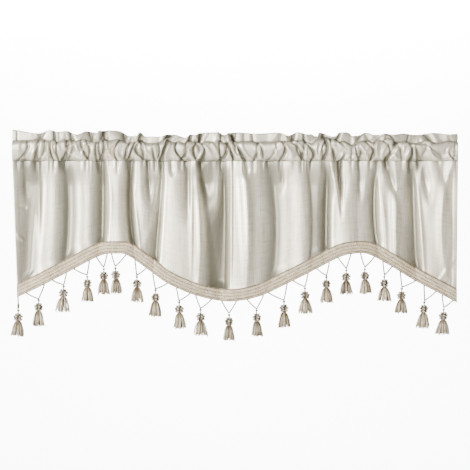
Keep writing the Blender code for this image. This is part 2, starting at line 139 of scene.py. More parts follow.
# %% The long and the short folds
MID_Z, LOW_Z = -0.150, -0.300
LONG_FOLDS = (
    # x at seam, x at mid drop, x low, depth, half width on the left and on the right
    (-0.5050, -0.4805, -0.4843, 0.0037, 0.0260, 0.0260),
    (-0.4486, -0.4558, -0.4646, 0.0102, 0.0260, 0.0172),
    (-0.3809, -0.3757, -0.3877, 0.0144, 0.0144, 0.0188),
    (-0.2992, -0.2995, -0.3043, 0.0151, 0.0135, 0.0068),
    (-0.2335, -0.2373, -0.2158, 0.0188, 0.0068, 0.0045),
    (-0.1641, -0.1717, -0.1826, 0.0139, 0.0138, 0.0045),
    (-0.0932, -0.0662, -0.0469, 0.0063, 0.0181, 0.0127),
    (-0.0284, -0.0254, -0.0264, 0.0174, 0.0260, 0.0065),
    (0.0359, 0.0446, 0.0421, 0.0014, 0.0045, 0.0104),
    (0.0758, 0.0905, 0.0844, 0.0137, 0.0196, 0.0231),
    (0.1607, 0.1714, 0.1656, 0.0086, 0.0045, 0.0257),
    (0.2087, 0.2046, 0.2053, 0.0123, 0.0085, 0.0064),
    (0.2856, 0.2750, 0.2895, 0.0035, 0.0079, 0.0260),
    (0.3202, 0.3117, 0.3335, 0.0115, 0.0077, 0.0069),
    (0.4035, 0.4018, 0.4103, 0.0148, 0.0210, 0.0077),
    (0.4576, 0.4859, 0.4805, 0.0038, 0.0078, 0.0260),
)
SHORT_FOLDS = (
    # x at seam, x at end, z at end, depth, half width
    (-0.4755, -0.4710, -0.137, 0.0053, 0.0082),
    (-0.4432, -0.4412, -0.249, 0.0027, 0.0048),
    (-0.1983, -0.1914, -0.157, 0.0093, 0.0062),
    (-0.1449, -0.1421, -0.079, 0.0065, 0.0045),
    (-0.1079, -0.1082, -0.196, 0.0067, 0.0059),
    (-0.0750, -0.0618, -0.153, 0.0103, 0.0120),
    (0.0200, 0.0282, -0.083, 0.0160, 0.0045),
    (0.1057, 0.1043, -0.121, 0.0041, 0.0045),
    (0.2309, 0.2401, -0.177, 0.0157, 0.0045),
    (0.2789, 0.2805, -0.140, 0.0064, 0.0045),
    (0.3403, 0.3677, -0.140, 0.0096, 0.0062),
    (0.4211, 0.4361, -0.145, 0.0069, 0.0075),
)
# Narrow ridges, where the satin doubles over beside a trough.
RIDGES = (
    # x at seam, x at mid drop, x low, height, half width, z where it ends
    (-0.2880, -0.2800, -0.2961, 0.0021, 0.0052, -0.257),
    (-0.2394, -0.2249, -0.2088, 0.0025, 0.0037, -0.420),
    (-0.1745, -0.1788, -0.2451, 0.0052, 0.0075, -0.255),
    (-0.0997, -0.0984, -0.0998, 0.0025, 0.0030, -0.331),
    (-0.0916, -0.0809, -0.0816, 0.0090, 0.0100, -0.420),
    (-0.0429, -0.0471, -0.0516, 0.0038, 0.0100, -0.147),
    (-0.0309, -0.0385, -0.0287, 0.0066, 0.0100, -0.201),
    (-0.0096, -0.0096, -0.0104, 0.0050, 0.0031, -0.412),
    (0.0047, 0.0129, 0.0182, 0.0028, 0.0100, -0.420),
    (0.0174, 0.0270, 0.0265, 0.0089, 0.0100, -0.420),
    (0.2088, 0.2386, 0.2304, 0.0090, 0.0100, -0.182),
    (0.3099, 0.3306, 0.3353, 0.0026, 0.0085, -0.406),
    (0.3575, 0.3601, 0.3586, 0.0075, 0.0100, -0.420),
    (0.3789, 0.3859, 0.4150, 0.0035, 0.0100, -0.249),
    (0.4021, 0.4128, 0.4233, 0.0054, 0.0052, -0.420),
    (0.4874, 0.4644, 0.4773, 0.0040, 0.0100, -0.420),
)
CREST_Y = -7 * MM
SEAM_SHARE, HEM_SHARE = 0.55, 0.38
FOLD_OPENS, BRAID_CALMS = 0.060, 0.050
DEEPER = 1.3


def sech(t):
    return 1.0 / np.cosh(np.minimum(np.abs(t), 50.0))


def bell(t):
    """A fold's cross-section: 1 in the middle, about a half at 1, with long soft tails."""
    half_fall, tail_share, tail_spread = 1.317, 0.25, 3.0
    tail = sech(half_fall * t / tail_spread)
    return (1.0 - tail_share) * sech(half_fall * t) + tail_share * tail


def three_point(x_top, x_mid, x_low, z):
    """The x of a long fold at height z, on the parabola through its three places."""
    a, b, c = SEAM_Z, MID_Z, LOW_Z
    return (
        x_top * (z - b) * (z - c) / ((a - b) * (a - c))
        + x_mid * (z - a) * (z - c) / ((b - a) * (b - c))
        + x_low * (z - a) * (z - b) / ((c - a) * (c - b))
    )


def fold_depth(x, z):
    """How far back of the crests the cloth lies, before it is calmed at seam and hem."""
    depth = np.zeros(np.broadcast(x, z).shape)
    for top, mid, low, back, left, right in LONG_FOLDS:
        off = x - three_point(top, mid, low, z)
        depth += back * bell(off / np.where(off < 0, left, right))
    for top, end, end_z, back, half in SHORT_FOLDS:
        run = (SEAM_Z - z) / (SEAM_Z - end_z)
        fade = 1.0 - ease((run - 0.35) / 0.65)
        narrow = half * np.clip(mix(1.0, 0.7, run), 0.5, 1.0)
        depth += back * fade * bell((x - mix(top, end, run)) / narrow)
    return depth


def ridge_height(x, z):
    height = np.zeros(np.broadcast(x, z).shape)
    for top, mid, low, proud, half, end_z in RIDGES:
        fade = 1.0 - ease((SEAM_Z - z) / (SEAM_Z - end_z) * 1.6 - 0.6)
        height += proud * fade * sech(1.6 * (x - three_point(top, mid, low, z)) / half)
    return height


def cloth_y(x, z):
    """The front face of the hanging panel."""
    opened = mix(SEAM_SHARE, 1.0, ease((SEAM_Z - z) / FOLD_OPENS))
    calmed = mix(HEM_SHARE, 1.0, ease((z - hem_z(x)) / BRAID_CALMS))
    folds = DEEPER * fold_depth(x, z) - ridge_height(x, z)
    return CREST_Y - 2 * MM + folds * opened * calmed


print("long folds:", len(LONG_FOLDS), "short folds:", len(SHORT_FOLDS), "ridges:", len(RIDGES))

# %% [markdown]
# ## Gathers of the rod pocket
# The pocket is stitched flat and then pushed together on its rod, so the cloth puckers into
# loops and hearts between the two rows of stitches. Each crease below is a curve through
# three heights. A row with a minus depth is a ridge of raised cloth, which catches the light
# on satin and gets a painted highlight too, while the creases get painted shade. The ruffle's
# wavy top and the row of stitches under it are tables too, because the gathers pull both out
# of line.

# %% Creases of the pocket and pleats of the ruffle
CREASES = (
    # x at stitches, x half way, x at seam, depth (a ridge is minus), half width
    (-0.4775, -0.4790, -0.4751, 0.0018, 0.0056),
    (-0.4694, -0.4682, -0.4918, 0.0038, 0.0046),
    (-0.4403, -0.4462, -0.4495, 0.0058, 0.0044),
    (-0.4358, -0.4510, -0.4606, -0.0025, 0.0036),
    (-0.4316, -0.4405, -0.4327, -0.0018, 0.0040),
    (-0.4292, -0.4295, -0.4433, 0.0041, 0.0033),
    (-0.4224, -0.4208, -0.4217, -0.0056, 0.0020),
    (-0.4142, -0.4157, -0.4082, 0.0048, 0.0022),
    (-0.4128, -0.4110, -0.4004, -0.0020, 0.0020),
    (-0.4024, -0.3970, -0.3952, -0.0022, 0.0059),
    (-0.3999, -0.4071, -0.3846, 0.0023, 0.0022),
    (-0.3997, -0.4022, -0.3955, 0.0061, 0.0022),
    (-0.3798, -0.3778, -0.3908, 0.0060, 0.0043),
    (-0.3665, -0.3658, -0.3817, 0.0037, 0.0042),
    (-0.3627, -0.3538, -0.3418, -0.0043, 0.0034),
    (-0.3467, -0.3421, -0.3277, 0.0052, 0.0028),
    (-0.3362, -0.3274, -0.3350, 0.0044, 0.0024),
    (-0.3340, -0.3791, -0.3256, -0.0024, 0.0042),
    (-0.3123, -0.3433, -0.3315, -0.0039, 0.0030),
    (-0.3109, -0.3141, -0.3111, 0.0051, 0.0028),
    (-0.3090, -0.3221, -0.3250, -0.0012, 0.0027),
    (-0.3058, -0.3065, -0.2993, 0.0051, 0.0023),
    (-0.2973, -0.2962, -0.3059, 0.0051, 0.0030),
    (-0.2887, -0.2864, -0.2695, -0.0055, 0.0032),
    (-0.2641, -0.2869, -0.2886, -0.0037, 0.0033),
    (-0.2582, -0.2710, -0.2658, 0.0066, 0.0030),
    (-0.2454, -0.2671, -0.2542, -0.0058, 0.0060),
    (-0.2428, -0.2469, -0.2605, -0.0014, 0.0028),
    (-0.2370, -0.2457, -0.2467, 0.0056, 0.0032),
    (-0.2249, -0.2344, -0.2415, 0.0070, 0.0022),
    (-0.2214, -0.2055, -0.2054, -0.0031, 0.0039),
    (-0.2137, -0.2076, -0.2074, 0.0060, 0.0038),
    (-0.2130, -0.2231, -0.1959, 0.0051, 0.0036),
    (-0.2083, -0.1983, -0.1835, -0.0014, 0.0026),
    (-0.1853, -0.1811, -0.1750, -0.0048, 0.0037),
    (-0.1844, -0.1843, -0.1819, 0.0061, 0.0032),
    (-0.1747, -0.1710, -0.1784, 0.0054, 0.0018),
    (-0.1524, -0.1632, -0.1703, 0.0072, 0.0018),
    (-0.1473, -0.1599, -0.1640, 0.0061, 0.0035),
    (-0.1444, -0.1531, -0.1612, -0.0053, 0.0041),
    (-0.1399, -0.1367, -0.1247, -0.0012, 0.0023),
    (-0.1312, -0.1342, -0.1134, 0.0063, 0.0025),
    (-0.1104, -0.1102, -0.1238, 0.0066, 0.0045),
    (-0.1068, -0.1048, -0.0889, -0.0042, 0.0030),
    (-0.0891, -0.0762, -0.0769, 0.0042, 0.0056),
    (-0.0881, -0.0948, -0.0864, 0.0061, 0.0027),
    (-0.0870, -0.0592, -0.0595, -0.0030, 0.0059),
    (-0.0841, -0.1085, -0.0932, -0.0041, 0.0041),
    (-0.0804, -0.0756, -0.0878, -0.0050, 0.0028),
    (-0.0778, -0.0693, -0.0773, 0.0053, 0.0023),
    (-0.0541, -0.0428, -0.0373, -0.0051, 0.0027),
    (-0.0361, -0.0362, -0.0325, 0.0060, 0.0019),
    (-0.0212, -0.0194, -0.0371, 0.0062, 0.0041),
    (-0.0192, -0.0104, -0.0056, 0.0074, 0.0031),
    (-0.0127, -0.0055, 0.0162, -0.0050, 0.0044),
    (-0.0118, -0.0169, -0.0061, -0.0037, 0.0026),
    (-0.0079, 0.0085, 0.0174, 0.0058, 0.0053),
    (0.0007, 0.0047, 0.0138, -0.0055, 0.0018),
    (0.0151, 0.0188, 0.0423, -0.0021, 0.0036),
    (0.0493, 0.0491, 0.0410, 0.0061, 0.0035),
    (0.0520, 0.0601, 0.0616, 0.0042, 0.0031),
    (0.0572, 0.0518, 0.0644, -0.0048, 0.0053),
    (0.0886, 0.0907, 0.0968, -0.0024, 0.0027),
    (0.0891, 0.0888, 0.0704, 0.0026, 0.0035),
    (0.0947, 0.1224, 0.1229, -0.0033, 0.0060),
    (0.1032, 0.1121, 0.0992, 0.0046, 0.0028),
    (0.1108, 0.1093, 0.0973, 0.0024, 0.0021),
    (0.1226, 0.1443, 0.1488, 0.0032, 0.0027),
    (0.1313, 0.1527, 0.1590, -0.0030, 0.0026),
    (0.1418, 0.1391, 0.1549, 0.0036, 0.0029),
    (0.1537, 0.1743, 0.1689, 0.0060, 0.0030),
    (0.1570, 0.1525, 0.1475, 0.0038, 0.0033),
    (0.1617, 0.1583, 0.1655, -0.0036, 0.0023),
    (0.1870, 0.1812, 0.1911, -0.0032, 0.0035),
    (0.1975, 0.2064, 0.1933, 0.0066, 0.0040),
    (0.2027, 0.1907, 0.1924, -0.0023, 0.0022),
    (0.2063, 0.1955, 0.2008, 0.0029, 0.0033),
    (0.2133, 0.2177, 0.2234, 0.0065, 0.0038),
    (0.2237, 0.2126, 0.2155, -0.0065, 0.0060),
    (0.2270, 0.2446, 0.2267, -0.0065, 0.0046),
    (0.2316, 0.2447, 0.2358, 0.0063, 0.0045),
    (0.2649, 0.2615, 0.2606, 0.0027, 0.0027),
    (0.2674, 0.2877, 0.2981, -0.0034, 0.0045),
    (0.2689, 0.2818, 0.2741, 0.0038, 0.0042),
    (0.2710, 0.2713, 0.2770, 0.0057, 0.0026),
    (0.2737, 0.2693, 0.2762, -0.0033, 0.0035),
    (0.2895, 0.3106, 0.3018, 0.0048, 0.0036),
    (0.3122, 0.2935, 0.3015, -0.0028, 0.0025),
    (0.3124, 0.3096, 0.3011, 0.0041, 0.0029),
    (0.3194, 0.3150, 0.3276, -0.0058, 0.0058),
    (0.3292, 0.3463, 0.3395, 0.0046, 0.0022),
    (0.3527, 0.3319, 0.3322, -0.0042, 0.0032),
    (0.3593, 0.3527, 0.3337, 0.0075, 0.0052),
    (0.3632, 0.3705, 0.3729, 0.0040, 0.0030),
    (0.3722, 0.3509, 0.3467, -0.0054, 0.0054),
    (0.3834, 0.3771, 0.3827, -0.0036, 0.0047),
    (0.3914, 0.3581, 0.3715, -0.0039, 0.0051),
    (0.3915, 0.3965, 0.3911, 0.0065, 0.0031),
    (0.3964, 0.4072, 0.4106, 0.0042, 0.0055),
    (0.3982, 0.3883, 0.3838, -0.0064, 0.0046),
    (0.3997, 0.4534, 0.4607, 0.0020, 0.0060),
    (0.4020, 0.4019, 0.4062, -0.0041, 0.0030),
    (0.4395, 0.4368, 0.4614, -0.0032, 0.0044),
    (0.4434, 0.4271, 0.4120, 0.0017, 0.0059),
    (0.4926, 0.4927, 0.4890, 0.0018, 0.0027),
    (0.4954, 0.4767, 0.4890, -0.0056, 0.0042),
    (0.4969, 0.4768, 0.4932, 0.0041, 0.0057),
)
RUFFLE_FOLDS = (
    # x at foot, x at top, how far the top comes forward, half width
    (-0.4700, -0.4600, 0.0030, 0.0140),
    (-0.4330, -0.4420, -0.0040, 0.0080),
    (-0.4040, -0.4100, 0.0060, 0.0070),
    (-0.3620, -0.3760, 0.0050, 0.0100),
    (-0.3250, -0.3380, -0.0055, 0.0080),
    (-0.3020, -0.3080, 0.0075, 0.0065),
    (-0.2450, -0.2600, -0.0060, 0.0090),
    (-0.2180, -0.2190, 0.0085, 0.0060),
    (-0.1640, -0.1530, -0.0060, 0.0075),
    (-0.1080, -0.1000, 0.0055, 0.0080),
    (-0.0830, -0.0830, -0.0060, 0.0060),
    (-0.0300, -0.0430, 0.0060, 0.0070),
    (-0.0050, -0.0200, -0.0065, 0.0080),
    (0.0880, 0.0970, 0.0045, 0.0140),
    (0.1280, 0.1230, -0.0055, 0.0080),
    (0.1600, 0.1520, 0.0050, 0.0080),
    (0.2040, 0.1880, -0.0070, 0.0075),
    (0.2320, 0.2420, 0.0060, 0.0080),
    (0.2730, 0.2680, -0.0060, 0.0070),
    (0.3520, 0.3350, 0.0065, 0.0085),
    (0.4320, 0.4150, -0.0060, 0.0090),
    (0.4850, 0.4800, 0.0035, 0.0080),
)
PLEATS = (
    # x at foot, x at top, depth (a ridge is minus), half width
    (-0.4905, -0.4904, 0.0016, 0.0028),
    (-0.4438, -0.4316, 0.0032, 0.0060),
    (-0.4419, -0.4502, -0.0014, 0.0030),
    (-0.4061, -0.4076, 0.0049, 0.0032),
    (-0.3881, -0.3870, -0.0014, 0.0060),
    (-0.3666, -0.3701, 0.0046, 0.0060),
    (-0.3529, -0.3427, -0.0017, 0.0060),
    (-0.3206, -0.3285, 0.0062, 0.0046),
    (-0.3200, -0.3098, -0.0048, 0.0060),
    (-0.3077, -0.3059, -0.0026, 0.0031),
    (-0.3033, -0.2969, 0.0030, 0.0049),
    (-0.2918, -0.2962, 0.0045, 0.0044),
    (-0.2868, -0.2893, 0.0026, 0.0019),
    (-0.2469, -0.2504, 0.0054, 0.0056),
    (-0.2458, -0.2352, -0.0051, 0.0060),
    (-0.2234, -0.2290, -0.0018, 0.0043),
    (-0.2166, -0.2120, 0.0039, 0.0034),
    (-0.2111, -0.2069, 0.0036, 0.0048),
    (-0.1630, -0.1457, 0.0072, 0.0060),
    (-0.1623, -0.1632, -0.0064, 0.0060),
    (-0.1395, -0.1110, -0.0015, 0.0051),
    (-0.1144, -0.1068, -0.0013, 0.0032),
    (-0.1043, -0.0996, 0.0063, 0.0040),
    (-0.0958, -0.0872, -0.0017, 0.0018),
    (-0.0838, -0.0912, -0.0041, 0.0025),
    (-0.0836, -0.0775, 0.0068, 0.0036),
    (-0.0762, -0.0642, -0.0017, 0.0052),
    (-0.0447, -0.0412, -0.0029, 0.0060),
    (-0.0317, -0.0338, 0.0040, 0.0034),
    (-0.0245, -0.0192, -0.0024, 0.0052),
    (-0.0150, -0.0182, -0.0028, 0.0028),
    (-0.0061, -0.0082, 0.0065, 0.0018),
    (-0.0053, -0.0021, 0.0042, 0.0044),
    (-0.0036, -0.0162, 0.0067, 0.0018),
    (0.0406, 0.0379, 0.0020, 0.0036),
    (0.0796, 0.0959, -0.0011, 0.0038),
    (0.0987, 0.1010, 0.0010, 0.0051),
    (0.1164, 0.1115, -0.0018, 0.0060),
    (0.1278, 0.1303, 0.0051, 0.0041),
    (0.1356, 0.1391, -0.0017, 0.0060),
    (0.1553, 0.1534, 0.0040, 0.0037),
    (0.1666, 0.1932, -0.0030, 0.0060),
    (0.1736, 0.1969, -0.0028, 0.0041),
    (0.1976, 0.1968, 0.0044, 0.0049),
    (0.2068, 0.2046, 0.0022, 0.0051),
    (0.2080, 0.2306, -0.0021, 0.0058),
    (0.2250, 0.2347, 0.0039, 0.0039),
    (0.2673, 0.2844, 0.0035, 0.0038),
    (0.2696, 0.2671, -0.0053, 0.0058),
    (0.3014, 0.2910, 0.0015, 0.0060),
    (0.3063, 0.3302, -0.0033, 0.0060),
    (0.3328, 0.3336, -0.0033, 0.0034),
    (0.3585, 0.3379, 0.0045, 0.0046),
    (0.3694, 0.3402, 0.0009, 0.0050),
    (0.3855, 0.3904, 0.0024, 0.0022),
    (0.4086, 0.4108, -0.0020, 0.0056),
    (0.4213, 0.4168, -0.0049, 0.0051),
    (0.4355, 0.4200, 0.0033, 0.0035),
    (0.4413, 0.4223, 0.0031, 0.0035),
    (0.4569, 0.4407, -0.0010, 0.0060),
    (0.4850, 0.4788, 0.0014, 0.0055),
    (0.5040, 0.5020, 0.0074, 0.0031),
)
RUFFLE_TOP = (
    # x, height above the rod pocket's top
    (-0.502, 0.0304),
    (-0.450, 0.0213),
    (-0.436, 0.0226),
    (-0.418, 0.0281),
    (-0.398, 0.0244),
    (-0.378, 0.0264),
    (-0.362, 0.0191),
    (-0.351, 0.0199),
    (-0.337, 0.0260),
    (-0.310, 0.0218),
    (-0.308, 0.0261),
    (-0.261, 0.0263),
    (-0.241, 0.0156),
    (-0.225, 0.0157),
    (-0.220, 0.0169),
    (-0.218, 0.0219),
    (-0.211, 0.0219),
    (-0.205, 0.0151),
    (-0.200, 0.0142),
    (-0.166, 0.0143),
    (-0.155, 0.0187),
    (-0.148, 0.0187),
    (-0.133, 0.0175),
    (-0.117, 0.0121),
    (-0.110, 0.0121),
    (-0.103, 0.0183),
    (-0.088, 0.0179),
    (-0.083, 0.0220),
    (-0.043, 0.0234),
    (-0.036, 0.0234),
    (-0.029, 0.0185),
    (-0.022, 0.0185),
    (-0.018, 0.0218),
    (0.005, 0.0230),
    (0.047, 0.0206),
    (0.101, 0.0221),
    (0.115, 0.0167),
    (0.122, 0.0167),
    (0.135, 0.0228),
    (0.146, 0.0228),
    (0.160, 0.0190),
    (0.173, 0.0190),
    (0.176, 0.0155),
    (0.178, 0.0154),
    (0.185, 0.0154),
    (0.187, 0.0221),
    (0.194, 0.0221),
    (0.216, 0.0142),
    (0.227, 0.0157),
    (0.232, 0.0225),
    (0.241, 0.0230),
    (0.252, 0.0228),
    (0.257, 0.0210),
    (0.261, 0.0157),
    (0.268, 0.0154),
    (0.281, 0.0176),
    (0.288, 0.0218),
    (0.302, 0.0211),
    (0.308, 0.0182),
    (0.331, 0.0184),
    (0.333, 0.0205),
    (0.356, 0.0183),
    (0.378, 0.0209),
    (0.407, 0.0177),
    (0.448, 0.0222),
    (0.479, 0.0188),
    (0.500, 0.0206),
)
STITCH_LINE = (
    # x, height of the stitches under the ruffle
    (-0.502, 0.0053),
    (-0.432, 0.0093),
    (-0.421, 0.0055),
    (-0.412, 0.0093),
    (-0.400, 0.0040),
    (-0.387, 0.0098),
    (-0.362, 0.0063),
    (-0.344, 0.0098),
    (-0.319, 0.0040),
    (-0.297, 0.0093),
    (-0.286, 0.0055),
    (-0.263, 0.0095),
    (-0.245, 0.0025),
    (-0.214, 0.0065),
    (-0.202, 0.0010),
    (-0.191, 0.0008),
    (-0.169, 0.0025),
    (-0.155, 0.0108),
    (-0.144, 0.0033),
    (-0.126, 0.0050),
    (-0.117, 0.0018),
    (-0.108, 0.0048),
    (-0.094, 0.0050),
    (-0.076, 0.0013),
    (-0.067, 0.0050),
    (-0.047, 0.0035),
    (-0.038, 0.0070),
    (-0.027, 0.0025),
    (-0.009, 0.0078),
    (0.000, 0.0040),
    (0.034, 0.0053),
    (0.045, 0.0030),
    (0.140, 0.0075),
    (0.153, 0.0070),
    (0.171, 0.0010),
    (0.182, 0.0075),
    (0.207, 0.0143),
    (0.234, 0.0043),
    (0.243, 0.0063),
    (0.261, -0.0032),
    (0.281, 0.0050),
    (0.295, 0.0065),
    (0.311, 0.0033),
    (0.322, 0.0088),
    (0.333, 0.0085),
    (0.344, 0.0140),
    (0.358, 0.0040),
    (0.362, 0.0030),
    (0.383, 0.0043),
    (0.394, 0.0008),
    (0.416, 0.0033),
    (0.428, 0.0093),
    (0.448, 0.0013),
    (0.479, 0.0053),
    (0.500, 0.0030),
)


def pocket_creases(x, height):
    """How far in the pocket's front goes at its gathers. Height is 0 at the seam, 1 on top."""
    depth = np.zeros(np.broadcast(x, height).shape)
    held = np.sin(np.pi * np.clip(0.12 + 0.80 * height, 0, 1)) ** 0.35
    for stitch, middle, seam, back, half in CREASES:
        bow = 4.0 * (middle - 0.5 * (stitch + seam))
        at = mix(seam, stitch, height) + bow * height * (1.0 - height)
        depth += back * np.exp(-(((x - at) / half) ** 2))
    return depth * held


def pleats(x, share):
    depth = np.zeros(np.broadcast(x, share).shape)
    for foot, top, back, half in PLEATS:
        depth += back * np.exp(-(((x - mix(foot, top, share)) / half) ** 2))
    return depth


print("pocket creases:", len(CREASES), "ruffle pleats:", len(PLEATS))

# %% [markdown]
# ## A sheet from a flat grid
# Cloth starts flat. A grid primitive is the flat cloth, and each of its points is moved to
# where it hangs. The grid's UV map is set to real metres on the flat cloth, so that a weave
# follows the folds. A second value holds painted shade: it grows with how deep in a fold each
# point lies, and the satin is painted darker and warmer there. The braid, yarn and beads keep
# their own painted shade in it, and the yarn each strand's tone too. Solidify then gives the
# cloth its thickness.

# %% Helpers for sheets
def pick_only(piece):
    bpy.ops.object.select_all(action="DESELECT")
    piece.select_set(True)
    bpy.context.view_layer.objects.active = piece


def apply_modifiers(piece):
    pick_only(piece)
    for modifier in list(piece.modifiers):
        bpy.ops.object.modifier_apply(modifier=modifier.name)


def hung_sheet(name, columns, rows, place, flat, thickness):
    """A flat grid moved to place(u, v), where v runs down. Place also gives the painted shade."""
    bpy.ops.object.select_all(action="DESELECT")
    bpy.ops.mesh.primitive_grid_add(x_subdivisions=columns, y_subdivisions=rows, size=1.0)
    piece = bpy.context.object
    piece.name = piece.data.name = name
    mesh = piece.data
    flat_points = np.empty(len(mesh.vertices) * 3)
    mesh.vertices.foreach_get("co", flat_points)
    flat_points = flat_points.reshape(-1, 3)
    u, v = flat_points[:, 0] + 0.5, 0.5 - flat_points[:, 1]
    points, painted_shade_and_tone = place(u, v)
    mesh.vertices.foreach_set("co", points.astype(np.float32).ravel())
    shade = mesh.attributes.new("painted_shade_and_tone", "FLOAT", "POINT")
    shade.data.foreach_set("value", np.clip(painted_shade_and_tone, 0.0, 1.0).astype(np.float32))
    layer = mesh.uv_layers[0]
    corners = np.empty(len(mesh.loops) * 2)
    layer.data.foreach_get("uv", corners)
    corners = corners.reshape(-1, 2) * np.array(flat)
    layer.data.foreach_set("uv", corners.astype(np.float32).ravel())
    mesh.update()
    if thickness:
        wall = piece.modifiers.new("thickness", "SOLIDIFY")
        wall.thickness = thickness
        wall.offset = -1.0
        apply_modifiers(piece)
    bpy.ops.object.shade_smooth()
    return piece


# %% [markdown]
# ## Colours and nodes
# Every material needs two small tools: one turns the sRGB hex colours that a painter reads
# off a chart into the linear values that the renderer works in, and one adds a node with
# its settings and links.

# %% Helpers for materials
def linear(hex_colour):
    channels = [int(hex_colour[i : i + 2], 16) / 255 for i in (1, 3, 5)]
    bent = [c / 12.92 if c <= 0.04045 else ((c + 0.055) / 1.055) ** 2.4 for c in channels]
    return (*bent, 1.0)


def add_node(tree, kind, inputs=None, **settings):
    """One node with its settings, and each of its inputs given a value or a link."""
    made = tree.nodes.new(kind)
    for name, value in settings.items():
        setattr(made, name, value)
    for name, value in (inputs or {}).items():
        socket = made.inputs[name]
        if isinstance(value, bpy.types.NodeSocket):
            tree.links.new(value, socket)
        else:
            socket.default_value = value
    return made


def new_material(name, **values):
    made = bpy.data.materials.new(name)
    made.use_nodes = True
    tree = made.node_tree
    shader = tree.nodes["Principled BSDF"]
    for socket, value in values.items():
        shader.inputs[socket.replace("_", " ")].default_value = value
    return made, tree, shader


def blend_colours(tree, share, first, second):
    """The colour between two others. Each is a hex value or a link."""
    made = add_node(tree, "ShaderNodeMix", data_type="RGBA")
    for socket, value in ((0, share), (6, first), (7, second)):
        if isinstance(value, bpy.types.NodeSocket):
            tree.links.new(value, made.inputs[socket])
        else:
            made.inputs[socket].default_value = linear(value) if isinstance(value, str) else value
    return made.outputs[2]


# %% [markdown]
# ## Satin
# The cloth is polyester satin woven like dupioni: long floats of bright warp thread show as
# fine upright streaks, and thicker weft threads cross them as faint level slubs. It gives
# soft broad highlights on the ridges. In the troughs it is painted a warm grey shade, which
# stands in for the shade between its own folds. Its IOR is that of polyester, 1.55. Cloth is
# no metal, but a metallic share of 0.45 gives the highlights the thread's own colour. Real
# warp threads are 0.1 mm apart, too fine to show, so the streaks are drawn 3 mm apart and the
# slubs 5 mm thick.

# %% Satin material
def satin_material():
    made, tree, shader = new_material(
        "ivory polyester satin", Roughness=0.34, IOR=1.55, Sheen_Weight=0.05, Metallic=0.45
    )
    shader.inputs["Sheen Roughness"].default_value = 0.4
    place = add_node(tree, "ShaderNodeUVMap", uv_map="UVMap").outputs["UV"]
    per_m = 1.0 / (3.0 * MM)
    warp_way = add_node(tree, "ShaderNodeMapping", {"Vector": place, "Scale": (per_m, 12.0, 1.0)})
    streaks = add_node(
        tree,
        "ShaderNodeTexNoise",
        {"Vector": warp_way.outputs[0], "Scale": 1.0, "Detail": 3.0, "Roughness": 0.6},
    )
    weft_way = add_node(tree, "ShaderNodeMapping", {"Vector": place, "Scale": (26.0, 190.0, 1.0)})
    slubs = add_node(
        tree,
        "ShaderNodeTexNoise",
        {"Vector": weft_way.outputs[0], "Scale": 1.0, "Detail": 2.0, "Roughness": 0.5},
    )
    broad = add_node(
        tree,
        "ShaderNodeTexNoise",
        {"Vector": place, "Scale": 7.0, "Detail": 2.0, "Roughness": 0.5},
    )
    tone = add_node(
        tree,
        "ShaderNodeMapRange",
        {"Value": streaks.outputs[0], "From Min": 0.30, "From Max": 0.70},
    )
    lit = blend_colours(tree, tone.outputs[0], "#c8bea4", "#f9f2df")
    cloudy = add_node(
        tree,
        "ShaderNodeMapRange",
        {"Value": broad.outputs[0], "From Min": 0.35, "From Max": 0.65, "To Max": 0.35},
    )
    varied = blend_colours(tree, cloudy.outputs[0], lit, "#d8cbb2")
    thick = add_node(
        tree,
        "ShaderNodeMapRange",
        {"Value": slubs.outputs[0], "From Min": 0.50, "From Max": 0.72, "To Max": 0.40},
    )
    slubbed = blend_colours(tree, thick.outputs[0], varied, "#b3a88e")
    # Painted shade: troughs, creases and pleats are mixed towards a warm grey, and raised lips get
    # a painted highlight.
    painted_shade_and_tone = add_node(tree, "ShaderNodeAttribute", attribute_name="painted_shade_and_tone")
    base = blend_colours(tree, painted_shade_and_tone.outputs["Fac"], slubbed, "#696555")
    tree.links.new(base, shader.inputs["Base Color"])
    threads = add_node(
        tree,
        "ShaderNodeMath",
        {0: streaks.outputs[0], 1: slubs.outputs[0]},
        operation="ADD",
    )
    bump = add_node(
        tree,
        "ShaderNodeBump",
        {"Height": threads.outputs[0], "Strength": 0.16, "Distance": 0.8 * MM},
    )
    tree.links.new(bump.outputs[0], shader.inputs["Normal"])
    return made


SATIN = satin_material()
print("made", SATIN.name)

# %% [markdown]
# ## The panel
# The panel is one cut length, gathered into the pocket. Its side edges are turned in as
# narrow hems, a double layer 10 mm wide that stands a little proud. Under the seam the
# pocket's gathers run on as small puckers, and they fade out over 35 mm. A few soft creases
# from storage cross it.

# %% Hang the panel
PANEL_FLAT = (1.270, 0.316)
SIDE_HEM = 10 * MM
PUCKERS_FADE = 0.035
SEAM_STRAYS = 1.1 * MM
STORAGE_CREASES = (
    # x and z where it starts, x and z where it ends, height, half width
    (-0.492, -0.204, -0.478, -0.218, 0.0022, 0.0030),
    (-0.492, -0.140, -0.470, -0.143, -0.0014, 0.0040),
    (0.049, -0.150, 0.078, -0.157, 0.0012, 0.0022),
    (0.455, -0.312, 0.490, -0.262, 0.0016, 0.0040),
    (-0.478, -0.320, -0.452, -0.286, 0.0012, 0.0040),
)


def storage_creases(x, z):
    rise = np.zeros(np.broadcast(x, z).shape)
    for x0, z0, x1, z1, proud, half in STORAGE_CREASES:
        way = np.array((x1 - x0, z1 - z0))
        length = np.hypot(*way)
        way = way / length
        run = ((x - x0) * way[0] + (z - z0) * way[1]) / length
        off = (x - x0) * way[1] - (z - z0) * way[0]
        ends = ease((run + 0.1) / 0.3) * ease((1.1 - run) / 0.3)
        rise += proud * ends * np.exp(-((off / half) ** 2))
    return rise


def side_hems(x, x_left, x_right):
    """1 on the doubled side hems and 0 inside them."""
    inside = np.minimum(x - x_left, x_right - x)
    return ease((SIDE_HEM + 0.5 * MM - inside) / (1.0 * MM))


def fold_shade(x, z):
    deep = fold_depth(x, z) - ridge_height(x, z)
    return 0.95 * ease((deep - 2 * MM) / (14 * MM))


